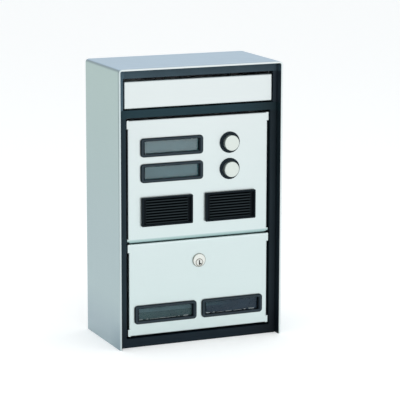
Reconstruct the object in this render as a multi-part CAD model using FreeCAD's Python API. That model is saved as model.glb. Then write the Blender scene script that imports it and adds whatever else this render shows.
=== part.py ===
import FreeCAD, Part
import math
import os

os.makedirs("parts", exist_ok=True)

# A wall letterbox with a door intercom for two homes, in millimetres.
# X is to the right, Y goes from the front to the wall, Z is up. The origin is under the middle of the case.

# ---- the whole case ----
WIDTH = 260.0
HEIGHT = 416.0
DEPTH = 139.0
FRONT = -DEPTH / 2
WALL = DEPTH / 2
RUNNING = 0.1  # radial clearance of a pin in its hole
CLEAR = 0.3  # gap between parts that move past each other
SNUG = 0.2  # gap between fixed parts that slip together
OVERCUT = 1.0  # how far a cutting tool reaches past what it cuts
BITE = 0.5  # how far two shapes of one part reach into each other
SAME = 0.01  # planes nearer to each other than this are one plane
SIDES = (-1, 1)

# ---- rain hood, folded from one sheet ----
HOOD_T = 2.5
HOOD_BEND = 5.0
HOOD_FLANGE = 8.0
HOOD_IN = WIDTH / 2 - HOOD_T
HOOD_TOP_IN = HEIGHT - HOOD_T
HOOD_BEND_IN = HOOD_BEND - HOOD_T

# ---- screws from the wall side into the back plate ----
CASING_SCREW_X = HOOD_IN - HOOD_FLANGE / 2
CASING_SCREW_Z = (30.0, 150.0, 270.0, 390.0)
CASING_SCREW_R = 1.5
CASING_HEAD_R = 3.0
CASING_HEAD_T = 1.5
CASING_HEAD_BELOW = 0.05
CASING_SCREW_REACH = 2.0
SCREW_SLOT_HALF = 0.35
SCREW_SLOT_DEEP = 0.75

# ---- black mouldings, set back behind the hood's front edge ----
FRAME_Y = FRONT + 11.0
FRAME_T = 3.0
FRAME_BACK = FRAME_Y + 14.0
FRAME_OUT = HOOD_IN - 0.2
FRAME_TOP = HOOD_TOP_IN - 0.3
FRAME_ROUND = 0.8
FACE_OUT = 124.5
LIP_T = 0.8
LIP_Y = FRONT + 1.0
GROOVE = 2.0
RETURN_T = 2.5
SEAM_Z = 354.5
SEAM_GAP = 0.2
SLOT_HALF = 119.25
SLOT_TOP = 401.0
OPEN_HALF = 115.25
OPEN_LOW = 13.5
OPEN_TOP = 343.0
BOSS_R = 1.4
BOSS_HALF = 4.0
BOSS_HOLE = 8.0
SLOT_BOSSES = (378.0,)
DOOR_BOSSES = (60.0, 200.0, 320.0)
RIB_X = (-80.0, -40.0, 0.0, 40.0, 80.0)
RIB_HALF = 1.0
STOP_IN = 112.2
STOP_T = 2.7
FRAME_SCREW_HEAD_R = 2.8
FRAME_SCREW_HEAD_T = 2.0
FRAME_SCREW_REACH = 6.0

# ---- inner casing and back plate ----
CASING_T = 1.2
CASING_OUT = HOOD_IN - 0.3
CASING_IN = CASING_OUT - CASING_T
CASING_FLANGE_IN = 118.2
CASING_SILL = 3.0  # how far the bottom flange stays below the door opening
CASING_TOP = HOOD_TOP_IN - HOOD_BEND_IN
BACK_T = 2.0
BACK_Y = WALL - HOOD_T - BACK_T
WALL_HOLE_R = 3.25
WALL_HOLE_X = 90.0
WALL_HOLE_Z = (50.0, 370.0)

# ---- letter flap ----
SHEET_T = 1.5
SHEET_BEND = 2.0
FLAP_HALF = 118.0
FLAP_LOW = 356.6
FLAP_TOP = 396.9
FLAP_SIDE_DEPTH = 9.5
FLAP_TOP_DEPTH = 6.5
FLAP_LOW_DEPTH = 6.0
FLAP_AXIS_Y = FRAME_Y + 5.0
FLAP_AXIS_Z = 391.8
FLAP_ROD_R = 2.0
FLAP_ROD_HALF = 121.5
FLAP_ROD_CHAMFER = 0.4
BUMPER_X = 60.0
BUMPER_HALF = 6.0
BUMPER_DEEP = 4.0
BUMPER_TALL = 6.3
BUMPER_ROUND = 0.6

# ---- flap springs ----
FLAP_SPRING_X = 104.0
FLAP_SPRING_R = 2.75
FLAP_SPRING_WIRE = 0.45
FLAP_SPRING_PITCH = 1.2
FLAP_SPRING_TURNS = 6.25
FLAP_SPRING_LEG = 12.0
FLAP_SPRING_TAIL = 9.0
RUNS_PER_TURN = 16  # a coil is drawn as this many short straight runs a turn

# ---- intercom panel ----
PANEL_Y = FRAME_Y + 2.0
PANEL_LOW = 157.0
PANEL_TOP = 339.5
PANEL_HALF = 112.1
PANEL_EAR_LOW = 163.5
PANEL_EAR_TOP = 327.0
PANEL_EAR_FOOT = 159.5
PANEL_BEND = 2.2
PANEL_FLANGE = 12.0
PANEL_LOW_FLANGE = 10.0
EAR_HALF = 113.3
EAR_R = 1.4
EAR_RELIEF = 0.4
EAR_ROOT = SHEET_BEND + 0.5
CUTOUT_ROOM = 0.4
CUTOUT_R = 1.5

# ---- door ----
DOOR_LOW = 17.0
DOOR_TOP = 156.0
DOOR_HALF = 111.8
DOOR_EAR_LOW = 27.5
DOOR_EAR_TOP = 143.5
DOOR_FLANGE = 15.0
DOOR_LOW_FLANGE = 9.5
FLANGE_END = 104.0
FLANGE_START = 2.8
TAIL_DEEP = 12.0
TAIL_FOOT = DOOR_LOW + 1.5
TAIL_R = 3.0

# ---- door hinge ----
HINGE_Y = FRAME_Y + 7.0
HINGE_Z = 24.0
HINGE_PIN_R = 2.0
HINGE_HEAD_R = 3.5
HINGE_HEAD_IN = 107.0
HINGE_HEAD_T = 2.4
HINGE_HEAD_ROUND = 0.6
BUSH_R = 3.6

# ---- name plates ----
PLATE_W = 99.0
PLATE_H = 28.0
PLATE_R = 5.0
PLATE_PROUD = 3.0
PLATE_ROUND = 1.4
PLATE_OPEN_W = 86.5
PLATE_OPEN_H = 18.8
PLATE_OPEN_R = 0.8
PLATE_CHAMFER = 0.7
PLATE_SEAT = 2.0
PLATE_SPIGOT = 5.0
PLATE_SPIGOT_W = 91.5
PLATE_SPIGOT_H = 23.0
PLATE_SPIGOT_R = 1.3
PANE_W = 88.8
PANE_H = 20.4
PANE_T = 1.5
PANE_R = 0.7
PANE_GAP = 0.05
CARD_T = 1.2
CARD_INSET = 0.4
PLATES_UPPER = ((-42.8, 298.1), (-42.8, 260.1))
PLATES_LOWER = ((-53.8, 48.9), (53.8, 48.9))

# ---- call buttons ----
BUTTONS = ((50.0, 297.8), (50.0, 258.2))
COLLAR_R = 16.0
COLLAR_PROUD = 1.6
COLLAR_ROUND = 0.9
COLLAR_BODY_R = 14.0
COLLAR_BACK = PANEL_Y + 14.0
COLLAR_FLOOR = 1.5
CHAMBER_R = 13.0
CAP_R = 11.5
CAP_Y = FRONT + 3.3
CAP_ROUND = 0.7
CAP_WALL = 1.5
CAP_FACE = 2.0
CAP_FLANGE_R = 12.6
CAP_FLANGE_T = 1.5
CAP_STEP_Y = PANEL_Y + 4.0
STEM_R = 2.5
STEM_END = COLLAR_BACK + 1.0
TRAVEL = 2.5
NUT_RING = 3.0
NUT_RING_T = 3.5
NUT_NOTCHES = 6
NUT_NOTCH_R = 1.5
NUT_NOTCH_OUT = 3.6
BUTTON_SPRING_R = 4.6
BUTTON_SPRING_WIRE = 0.5
BUTTON_SPRING_TURNS = 7
BUTTON_SPRING_START = CAP_Y + 2.8
BUTTON_SPRING_END = COLLAR_BACK - 2.3
SWITCH_HALF = 6.0
SWITCH_ROUND = 0.8
SWITCH_TIP_R = 3.3
SWITCH_TIP_T = 1.0

# ---- louvred grilles ----
GRILLES = ((-50.85, 202.7), (50.85, 202.7))
GRILLE_W = 81.0
GRILLE_H = 43.3
GRILLE_R = 1.6
GRILLE_ROUND = 0.7
GRILLE_PROUD = 4.5
GRILLE_RIM = 2.5
GRILLE_DEEP = 4.0
GRILLE_FLOOR = 2.0
GRILLE_POCKET_R = 0.8
LOUVRES = 9
LOUVRE_W = 65.7
LOUVRE_PITCH = 4.13
LOUVRE_FACE = 1.5
LOUVRE_RISE = 2.2
LOUVRE_TAIL = 0.5
LOUVRE_FRONT = 0.4
LOUVRE_BACK = 3.5
SPIGOT_W = 74.0
SPIGOT_H = 39.4
SPIGOT_R = 1.2
SPIGOT_DEEP = 4.5
SPIGOT_SIDE = 2.0
SPIGOT_EDGE = 1.5

# ---- loudspeaker behind the left grille ----
SPEAKER_Y = PANEL_Y + 6.5
SPEAKER_R = 25.0
BASKET_RIM_T = 2.0
BASKET_R = 22.0
BASKET_END = 9.0
BASKET_BACK_R = 13.0
MAGNET_R = 14.0
MAGNET_END = 15.0
CONE_R = 20.5
CONE_FLOOR_R = 6.0
CONE_DEEP = 6.5
DOME_Y = 3.5
GASKET_T = 2.0
GASKET_SIDE = 6.5
GASKET_EDGE = 2.5

# ---- microphone behind the right grille ----
MIC_Y = PANEL_Y + 5.5
MIC_R = 4.9
MIC_T = 5.0
MIC_PIN_R = 0.4
MIC_PIN_X = 1.3
MIC_PIN_END = 8.0
BOOT_Y = PANEL_Y + 4.5
BOOT_R = 9.0
BOOT_T = 7.0
BOOT_ROUND = 1.0
BOOT_SOUND_R = 2.0
BOOT_WIRE_R = 2.5

# ---- lock ----
LOCK_Z = 123.6
LOCK_R = 10.4
LOCK_PROUD = 1.9
LOCK_ROUND = 0.8
BARREL_R = 9.4
BARREL_FLAT = BARREL_R - 1.0
LOCK_BACK = FRAME_Y + 18.5
NUT_T = 4.0
NUT_ACROSS = 24.0
PLUG_Z = 120.4
PLUG_PROUD = LOCK_PROUD + 0.25
PLUG_FACE_R = 5.8
PLUG_R = 5.0
PLUG_ROUND = 0.3
PLUG_STEP = 0.3
PLUG_TAIL = 0.4
TAIL_HALF = 3.0
KEYWAY_HALF = 0.85
KEYWAY_LOW = 3.9
KEYWAY_TOP = 3.4
KEYWAY_DEEP = 6.0
KEYWAY_SIDE = (0.0, 3.4, -3.4, -1.2)
KEYWAY_SIDE_DEEP = 1.0
CAM_T = 2.0
CAM_LENGTH = 34.0
CAM_BEHIND = 7.0
CAM_HALF = 6.0
CAM_ROUND = 5.0
CAM_SCREW_R = 1.5
CAM_SCREW_HEAD_R = 4.5
CAM_SCREW_HEAD_T = 2.2
CAM_SCREW_REACH = 5.0

# ---- strike bar between door and intercom ----
STRIKE_Y = LOCK_BACK - 1.6
STRIKE_Z = 160.3
STRIKE_T = 2.0
STRIKE_DEEP = 20.0
STRIKE_HALF = CASING_IN - 0.1
STRIKE_RIB_T = 1.6
STRIKE_RIB_LOW = STRIKE_Z - 4.0
STRIKE_LIP_HALF = 25.0
STRIKE_LIP_Z = 141.0
STRIKE_LIP_R = 3.0
STRIKE_TAB_Y = STRIKE_Y + 4.0
STRIKE_TAB_LOW = STRIKE_Z - 9.0
STRIKE_SCREW_Y = FRAME_BACK + 14.0
STRIKE_SCREW_Z = STRIKE_Z - 4.5
STRIKE_SCREW_R = 1.6
STRIKE_HEAD_R = 3.0
STRIKE_HEAD_T = 2.0

# ---- rear cover, studs and clamps of the intercom ----
COVER_HALF = 97.0
COVER_LOW = 166.0
COVER_TOP = 334.0
COVER_T = 2.0
COVER_BACK = -15.0
COVER_FRONT = PANEL_Y + SHEET_T + 0.2
COVER_R = 4.0
COVER_ROUND = 2.5
COVER_CABLE_R = 5.0
COVER_CABLE_Y = -26.0
VENT_R = 0.8
VENTS = 11
VENT_X = -40.0
VENT_PITCH = 8.0
VENT_Z = 190.0
STUDS = ((-104.0, 180.0), (104.0, 180.0), (-104.0, 318.0), (104.0, 318.0))
STUD_R = 2.0
STUD_LENGTH = 17.5
WELD_R = 2.8
WELD_T = 0.2
LUG_OUT = 108.7
LUG_T = 2.0
LUG_HALF = 6.0
SPACER_R = 3.6
CLAMP_Y = FRAME_BACK + CLEAR
CLAMP_T = 1.5
CLAMP_IN = 99.5
CLAMP_OUT = 117.2
CLAMP_H = 12.0
CLAMP_R = 2.0
STUD_NUT_ACROSS = 7.0
STUD_NUT_T = 3.0

# ---- circuit board ----
BOARD_FRONT = -34.0
BOARD_T = 1.6
BOARD_BACK = BOARD_FRONT + BOARD_T
BOARD_HALF = 90.0
BOARD_LOW = 236.0
BOARD_TOP = 328.0
BOARD_R = 3.0
BOARD_HOLES = ((-84.0, 242.0), (84.0, 242.0), (-84.0, 322.0), (84.0, 322.0))
BOARD_HOLE_R = 1.5
STANDOFF_ACROSS = 6.0
STANDOFF_BORE = 1.3
STANDOFF_BORE_DEEP = 7.4
BOARD_HEAD_R = 2.8
BOARD_HEAD_T = 1.8
BOARD_SCREW_REACH = 7.0
CHIP = (-8.0, 8.0, 268.0, 276.0, 2.5)
CAPACITOR_R = 4.0
CAPACITOR_T = 8.0
CAPACITORS = ((-70.0, 310.0), (-58.0, 310.0))
TRIMMER = (0.0, 9.0, 305.0, 314.0, 4.5)
TRIMMER_R = 1.8
TERMINALS = 6
TERMINAL_PITCH = 6.0
TERMINAL_HALF = 18.0
TERMINAL_DEEP = 10.0
TERMINAL_LOW = 240.0
TERMINAL_TOP = 250.0
WELL_R = 1.9
WELL_DEEP = 3.0
WIRE_DOOR_HALF = 2.0
WIRE_DOOR_Y = (2.0, 6.0)
WIRE_DOOR_TALL = 3.0

# ---- letter chute ----
CHUTE_T = 1.2
CHUTE_START = (FRAME_BACK + CASING_T + 0.1, 352.0)
CHUTE_BEND = (FRAME_BACK + 4.0, 352.0)
CHUTE_EDGE = (COVER_BACK + 2.0, COVER_TOP + 5.0)
CHUTE_END = (COVER_BACK + 2.0, COVER_TOP - 9.0)
CHUTE_LEANS = ((0.0, 1.0), (0.4, 1.0), (1.0, 0.5), (1.0, 0.0))

# ---- cable entry ----
CABLE_X = -112.5
CABLE_Z = 242.0
CABLE_R = 3.5
GROMMET_HOLE_R = 4.8
GROMMET_R = 5.7
GROMMET_IN = 2.0
GROMMET_BELOW = 0.5
DUCT_HALF = 7.0
DUCT_TALL = 10.0
DUCT_T = 1.2
DUCT_R = 2.0
DUCT_Y = COVER_BACK + 1.0
DUCT_FOOT = 8.0
DUCT_SCREW_R = 1.3
DUCT_HEAD_R = 2.6
DUCT_HEAD_T = 1.8
DUCT_SCREW_Z = (CABLE_Z - DUCT_TALL - 4.0, CABLE_Z + DUCT_TALL + 4.0)

# ---- screw heads, as shares of the head's own size ----
HEAD_ROUND = 0.3
CROSS_DEEP = 0.5
CROSS_ARM = 0.6
CROSS_HALF = 0.14


# ---- helpers ----
def vec(x, y, z):
    return FreeCAD.Vector(x, y, z)


def block(x0, x1, y0, y1, z0, z1):
    return Part.makeBox(x1 - x0, y1 - y0, z1 - z0, vec(x0, y0, z0))


def side_block(side, inner, outer, y0, y1, z0, z1):
    """A block between two distances from the middle, on one side of it."""
    x0, x1 = sorted((side * inner, side * outer))
    return block(x0, x1, y0, y1, z0, z1)


def rod_x(radius, x0, x1, y, z):
    return Part.makeCylinder(radius, x1 - x0, vec(x0, y, z), vec(1, 0, 0))


def side_rod(radius, side, inner, outer, y, z):
    """A rod along X between two distances from the middle, on one side of it."""
    x0, x1 = sorted((side * inner, side * outer))
    return rod_x(radius, x0, x1, y, z)


def rod_y(radius, y0, y1, x, z):
    return Part.makeCylinder(radius, y1 - y0, vec(x, y0, z), vec(0, 1, 0))


def cone_y(radius_0, radius_1, y0, y1, x, z):
    return Part.makeCone(radius_0, radius_1, y1 - y0, vec(x, y0, z), vec(0, 1, 0))


def join(shapes):
    whole = shapes[0]
    if len(shapes) > 1:
        whole = whole.fuse(shapes[1:])
    return whole.removeSplitter()


def cut_all(shape, tools):
    return shape.cut(Part.makeCompound(tools))


def edges_along(shape, axis, keep=None):
    """Straight edges parallel to an axis ("X", "Y" or "Z"), those that keep(middle point) accepts."""
    direction = {"X": vec(1, 0, 0), "Y": vec(0, 1, 0), "Z": vec(0, 0, 1)}[axis]
    found = []
    for edge in shape.Edges:
        if not isinstance(edge.Curve, Part.Line):
            continue
        run = edge.Vertexes[-1].Point.sub(edge.Vertexes[0].Point)
        if run.cross(direction).Length > SAME * run.Length:
            continue
        middle = edge.Vertexes[0].Point.add(run.multiply(0.5))
        if keep is None or keep(middle):
            found.append(edge)
    return found


def edges_at_y(shape, y):
    """Edges that lie wholly in the plane at that y."""
    boxes = [(edge, edge.BoundBox) for edge in shape.Edges]
    return [edge for edge, box in boxes if abs(box.YMin - y) < SAME and abs(box.YMax - y) < SAME]


def round_edges(shape):
    return [edge for edge in shape.Edges if isinstance(edge.Curve, Part.Circle)]


def rounded(x, z, wide, tall, radius, y0, y1):
    """A plate with rounded corners, its middle at (x, z), from y0 back to y1."""
    plate = block(x - wide / 2, x + wide / 2, y0, y1, z - tall / 2, z + tall / 2)
    return plate.makeFillet(radius, edges_along(plate, "Y"))


def hexagon_y(across, y0, y1, x, z):
    corner = across / math.sqrt(3)
    turns = [math.radians(60 * step) for step in range(7)]
    points = [vec(x + corner * math.cos(turn), y0, z + corner * math.sin(turn)) for turn in turns]
    return Part.Face(Part.makePolygon(points)).extrude(vec(0, y1 - y0, 0))


def nut_y(across, bore, y0, y1, x, z):
    return hexagon_y(across, y0, y1, x, z).cut(rod_y(bore, y0 - OVERCUT, y1 + OVERCUT, x, z))


def screw_y(head_r, head_t, seat_y, shank_r, end_y, x, z):
    """A pan-head screw along Y: its head stands on seat_y, away from end_y, with a cross recess."""
    out = 1.0 if seat_y > end_y else -1.0
    top_y = seat_y + out * head_t
    low, high = sorted((seat_y, top_y))
    head = rod_y(head_r, low, high, x, z)
    head = head.makeFillet(HEAD_ROUND * head_t, edges_at_y(head, top_y))
    shank_y0, shank_y1 = sorted((end_y, seat_y + out * head_t / 2))
    shank = rod_y(shank_r, shank_y0, shank_y1, x, z)
    cut_y0, cut_y1 = sorted((top_y - out * CROSS_DEEP * head_t, top_y + out * OVERCUT))
    arm, half = CROSS_ARM * head_r, CROSS_HALF * head_r
    level = block(x - arm, x + arm, cut_y0, cut_y1, z - half, z + half)
    upright = block(x - half, x + half, cut_y0, cut_y1, z - arm, z + arm)
    return join([head, shank]).cut(join([level, upright]))


def channel_x(half, y_front, top_back, low_back, z0, z1, low_bend):
    """A sheet face with a top and a bottom flange folded back, running along X."""
    back = max(top_back, low_back)
    outer = block(-half, half, y_front, back, z0, z1)
    past = half + OVERCUT
    inner = block(-past, past, y_front + SHEET_T, back + OVERCUT, z0 + SHEET_T, z1 - SHEET_T)
    for z, bend, up in ((z1, SHEET_BEND, 1), (z0, low_bend, -1)):
        outer = outer.makeFillet(bend, edges_along(
            outer, "X", lambda p: abs(p.y - y_front) < SAME and abs(p.z - z) < SAME))
        inner = inner.makeFillet(bend - SHEET_T, edges_along(
            inner, "X", lambda p: abs(p.y - y_front - SHEET_T) < SAME and abs(p.z - z + up * SHEET_T) < SAME))
    middle = (z0 + z1) / 2
    above = block(-past, past, top_back, back + OVERCUT, middle, z1 + OVERCUT)
    below = block(-past, past, low_back, back + OVERCUT, z0 - OVERCUT, middle)
    return outer.cut(inner).cut(above).cut(below)


def channel_z(half, y_front, back, z0, z1):
    """A sheet face with two side flanges folded back, running along Z."""
    outer = block(-half, half, y_front, back, z0, z1)
    outer = outer.makeFillet(SHEET_BEND, edges_along(outer, "Z", lambda p: abs(p.y - y_front) < SAME))
    inner_y = y_front + SHEET_T
    inner = block(-half + SHEET_T, half - SHEET_T, inner_y, back + OVERCUT, z0 - OVERCUT, z1 + OVERCUT)
    corners = edges_along(inner, "Z", lambda p: abs(p.y - inner_y) < SAME)
    inner = inner.makeFillet(SHEET_BEND - SHEET_T, corners)
    return outer.cut(inner)


def ears(half, y_front, z0, z1, corner_z):
    """The two flat corner tabs beside the folded edges, each with its outer corner rounded."""
    tabs = []
    for side in SIDES:
        tab = side_block(side, half, EAR_HALF, y_front, y_front + SHEET_T, z0, z1)
        tabs.append(tab.makeFillet(EAR_R, edges_along(
            tab, "Y", lambda p: abs(p.x - side * EAR_HALF) < SAME and abs(p.z - corner_z) < SAME)))
    return tabs


def coil(radius, wire, pitch, turns, leg, tail):
    """A round-wire coil round +Z from z 0, with a straight leg before it and a straight tail after it."""
    rise = pitch / (2 * math.pi)
    runs = round(turns * RUNS_PER_TURN)
    points = []
    for step in range(runs + 1):
        turn = 2 * math.pi * step / RUNS_PER_TURN
        points.append(vec(radius * math.cos(turn), radius * math.sin(turn), rise * turn))
    if leg:
        points.insert(0, points[0] - vec(0, radius, rise).normalize() * leg)
    if tail:
        end = 2 * math.pi * turns
        onward = vec(-radius * math.sin(end), radius * math.cos(end), rise).normalize()
        points.append(points[-1] + onward * tail)
    section = Part.Wire(Part.makeCircle(wire, points[0], points[1] - points[0]))
    mitred = 1
    return Part.Wire(Part.makePolygon(points).Edges).makePipeShell([section], True, True, mitred)


def save(name, shapes):
    """Writes one node: one solid, or a group of separate solids."""
    solids = []
    for shape in shapes:
        for solid in shape.Solids:
            if not solid.isValid():
                raise ValueError(name + " is not a valid solid")
            solids.append(solid)
    whole = solids[0] if len(solids) == 1 else Part.makeCompound(solids)
    whole.exportStep("parts/" + name + ".step")


# ---- casing ----
def casing_screw_places():
    return [(side * CASING_SCREW_X, z) for side in SIDES for z in CASING_SCREW_Z]


def hood():
    """The rain hood: top and two sides with rounded folds, and narrow flanges turned in at the wall."""
    outer = block(-WIDTH / 2, WIDTH / 2, FRONT, WALL, 0, HEIGHT)
    outer = outer.makeFillet(HOOD_BEND, edges_along(outer, "Y", lambda p: p.z > HEIGHT / 2))
    inner = block(-HOOD_IN, HOOD_IN, FRONT - OVERCUT, WALL - HOOD_T, -OVERCUT, HOOD_TOP_IN)
    inner = inner.makeFillet(HOOD_BEND_IN, edges_along(inner, "Y", lambda p: p.z > HEIGHT / 2))
    rear = HOOD_IN - HOOD_FLANGE
    rear_cut = block(-rear, rear, WALL - 2 * HOOD_T, WALL + OVERCUT, -OVERCUT, HOOD_TOP_IN - HOOD_FLANGE)
    sinks = []
    for x, z in casing_screw_places():
        sink_y = WALL - CASING_HEAD_T - RUNNING
        sinks.append(cone_y(CASING_SCREW_R + RUNNING, CASING_HEAD_R + SNUG, sink_y, WALL, x, z))
        sinks.append(rod_y(CASING_SCREW_R + RUNNING, WALL - HOOD_T - OVERCUT, sink_y + RUNNING, x, z))
    return cut_all(outer.cut(inner).cut(rear_cut), sinks)


def casing_screws():
    """Countersunk screws from the wall side, just below the flanges, threaded into the back plate."""
    screws = []
    head_y = WALL - CASING_HEAD_BELOW
    for x, z in casing_screw_places():
        head = cone_y(CASING_SCREW_R, CASING_HEAD_R, head_y - CASING_HEAD_T, head_y, x, z)
        shank = rod_y(CASING_SCREW_R, BACK_Y - CASING_SCREW_REACH, head_y - CASING_HEAD_T + SNUG, x, z)
        slot = block(x - CASING_HEAD_R, x + CASING_HEAD_R, head_y - SCREW_SLOT_DEEP, WALL + OVERCUT,
                     z - SCREW_SLOT_HALF, z + SCREW_SLOT_HALF)
        screws.append(join([head, shank]).cut(slot))
    return screws


def back_plate():
    """The rear wall, with four holes for the wall screws and one for the cable."""
    plate = block(-CASING_OUT, CASING_OUT, BACK_Y, BACK_Y + BACK_T, CASING_T + RUNNING, FRAME_TOP)
    plate = plate.makeFillet(HOOD_BEND_IN, edges_along(plate, "Y", lambda p: p.z > HEIGHT / 2))
    holes = [rod_y(WALL_HOLE_R, BACK_Y - OVERCUT, WALL, side * WALL_HOLE_X, z)
             for side in SIDES for z in WALL_HOLE_Z]
    holes += [rod_y(CASING_SCREW_R, BACK_Y - OVERCUT, WALL, x, z) for x, z in casing_screw_places()]
    holes.append(rod_y(GROMMET_HOLE_R, BACK_Y - OVERCUT, WALL, CABLE_X, CABLE_Z))
    holes += [rod_y(DUCT_SCREW_R, BACK_Y - OVERCUT, WALL, CABLE_X, z) for z in DUCT_SCREW_Z]
    return cut_all(plate, holes)


def inner_casing():
    """Two side walls and a bottom from one steel sheet, with front flanges that carry the mouldings."""
    wall_y = BACK_Y - SNUG
    past_top = CASING_TOP + OVERCUT
    flange_y0, flange_y1 = FRAME_BACK - OVERCUT, FRAME_BACK + CASING_T + OVERCUT
    outer = block(-CASING_OUT, CASING_OUT, FRAME_BACK, wall_y, 0, CASING_TOP)
    hollow = block(-CASING_IN, CASING_IN, FRAME_BACK + CASING_T, wall_y + OVERCUT, CASING_T, past_top)
    mouth = block(-CASING_FLANGE_IN, CASING_FLANGE_IN, flange_y0, flange_y1, OPEN_LOW - CASING_SILL, past_top)
    tools = [rod_y(BOSS_R + CLEAR, flange_y0, flange_y1, x, z) for x, z in frame_screw_places()]
    tools += [side_rod(STRIKE_SCREW_R, side, CASING_IN - OVERCUT, CASING_OUT + OVERCUT,
                       STRIKE_SCREW_Y, STRIKE_SCREW_Z) for side in SIDES]
    return cut_all(outer.cut(hollow).cut(mouth), tools)


# ---- black mouldings ----
def frame_screw_places():
    slot_x = (SLOT_HALF + RETURN_T + FACE_OUT) / 2
    door_x = (OPEN_HALF + RETURN_T + FACE_OUT) / 2
    places = [(side * slot_x, z) for side in SIDES for z in SLOT_BOSSES]
    return places + [(side * door_x, z) for side in SIDES for z in DOOR_BOSSES]


def boss_holes(places):
    return [rod_y(BOSS_R, FRAME_BACK - BOSS_HOLE, FRAME_BACK + OVERCUT, x, z) for x, z in places]


def moulding(half, z0, z1, open_low, open_top, bosses):
    """A hollow-backed frame: face, groove and thin forward lip along the hood, return walls, screw bosses."""
    body = block(-FRAME_OUT, FRAME_OUT, FRAME_Y, FRAME_BACK, z0, z1)
    if z1 > SEAM_Z:
        body = body.makeFillet(HOOD_BEND_IN - SNUG, edges_along(body, "Y", lambda p: p.z > SEAM_Z + OVERCUT))
    body = body.cut(block(-half, half, FRAME_Y - OVERCUT, FRAME_BACK + OVERCUT, open_low, open_top))
    mouth = []
    for edge in edges_at_y(body, FRAME_Y):
        box = edge.BoundBox
        if -half - SAME < box.XMin and box.XMax < half + SAME and z0 + SAME < box.Center.z < z1 - SAME:
            mouth.append(edge)
    body = body.makeFillet(FRAME_ROUND, mouth)
    hollow_y, past = FRAME_Y + FRAME_T, FRAME_BACK + OVERCUT
    for side in SIDES:
        pocket = side_block(side, half + RETURN_T, FRAME_OUT - RETURN_T, hollow_y, past,
                            z0 + RETURN_T, z1 - RETURN_T)
        for z in bosses:
            pocket = pocket.cut(side_block(side, half, FRAME_OUT, hollow_y - OVERCUT, past + OVERCUT,
                                           z - BOSS_HALF, z + BOSS_HALF))
        groove = side_block(side, FACE_OUT, FRAME_OUT + OVERCUT, FRAME_Y - OVERCUT, FRAME_Y + GROOVE,
                            z0 - OVERCUT, z1 + OVERCUT)
        lip = side_block(side, FRAME_OUT - LIP_T, FRAME_OUT, LIP_Y, FRAME_Y + GROOVE, z0, min(z1, CASING_TOP))
        body = body.cut(pocket).cut(groove).fuse(lip)
    return body


def ribbed_hollow(half, z0, z1):
    """The space behind a rail's face, less the ribs that stiffen it."""
    hollow = block(-half, half, FRAME_Y + FRAME_T, FRAME_BACK + OVERCUT, z0, z1)
    ribs = [block(x - RIB_HALF, x + RIB_HALF, FRAME_Y, FRAME_BACK + 2 * OVERCUT, z0 - OVERCUT, z1 + OVERCUT)
            for x in RIB_X]
    return cut_all(hollow, ribs)


def slot_frame():
    """The upper moulding: top rail and two stiles round the letter flap, with holes for the flap's rod."""
    body = moulding(SLOT_HALF, SEAM_Z + SEAM_GAP, FRAME_TOP, SEAM_Z - OVERCUT, SLOT_TOP, SLOT_BOSSES)
    body = body.cut(ribbed_hollow(SLOT_HALF, SLOT_TOP + RETURN_T, FRAME_TOP - RETURN_T))
    tools = boss_holes([place for place in frame_screw_places() if place[1] > SEAM_Z])
    tools += [side_rod(FLAP_ROD_R, side, SLOT_HALF - OVERCUT, SLOT_HALF + RETURN_T + BITE,
                       FLAP_AXIS_Y, FLAP_AXIS_Z) for side in SIDES]
    return cut_all(body, tools).removeSplitter()


def door_frame():
    """The lower moulding: cross rail, stiles, bottom rail, and corner stops for the panel and the door."""
    body = moulding(OPEN_HALF, 0.0, SEAM_Z, OPEN_LOW, OPEN_TOP, DOOR_BOSSES)
    body = body.cut(ribbed_hollow(OPEN_HALF, OPEN_TOP + RETURN_T, SEAM_Z - RETURN_T))
    body = body.cut(ribbed_hollow(OPEN_HALF, RETURN_T, OPEN_LOW - RETURN_T))
    stops = []
    for z0, z1, face_y in ((PANEL_EAR_TOP + OVERCUT, PANEL_TOP, PANEL_Y),
                           (PANEL_LOW, PANEL_EAR_LOW - BITE, PANEL_Y),
                           (DOOR_EAR_TOP + OVERCUT, DOOR_TOP - EAR_R, FRAME_Y)):
        y0 = face_y + SHEET_T + CLEAR
        stops += [side_block(side, STOP_IN, OPEN_HALF + BITE, y0, y0 + STOP_T, z0, z1) for side in SIDES]
    tools = boss_holes([place for place in frame_screw_places() if place[1] < SEAM_Z])
    tools += [side_rod(HINGE_PIN_R, side, OPEN_HALF - OVERCUT, OPEN_HALF + RETURN_T + BITE, HINGE_Y, HINGE_Z)
              for side in SIDES]
    return cut_all(body.fuse(stops), tools).removeSplitter()


def frame_screws():
    seat_y = FRAME_BACK + CASING_T
    end_y = FRAME_BACK - FRAME_SCREW_REACH
    return [screw_y(FRAME_SCREW_HEAD_R, FRAME_SCREW_HEAD_T, seat_y, BOSS_R, end_y, x, z)
            for x, z in frame_screw_places()]


# ---- letter flap ----
def tray(half, z0, z1, y0, y1, radius):
    """A block with its four front edges and four corners rounded."""
    body = block(-half, half, y0, y1, z0, z1)
    return body.makeFillet(radius, edges_along(body, "Y") + edges_at_y(body, y0))


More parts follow.
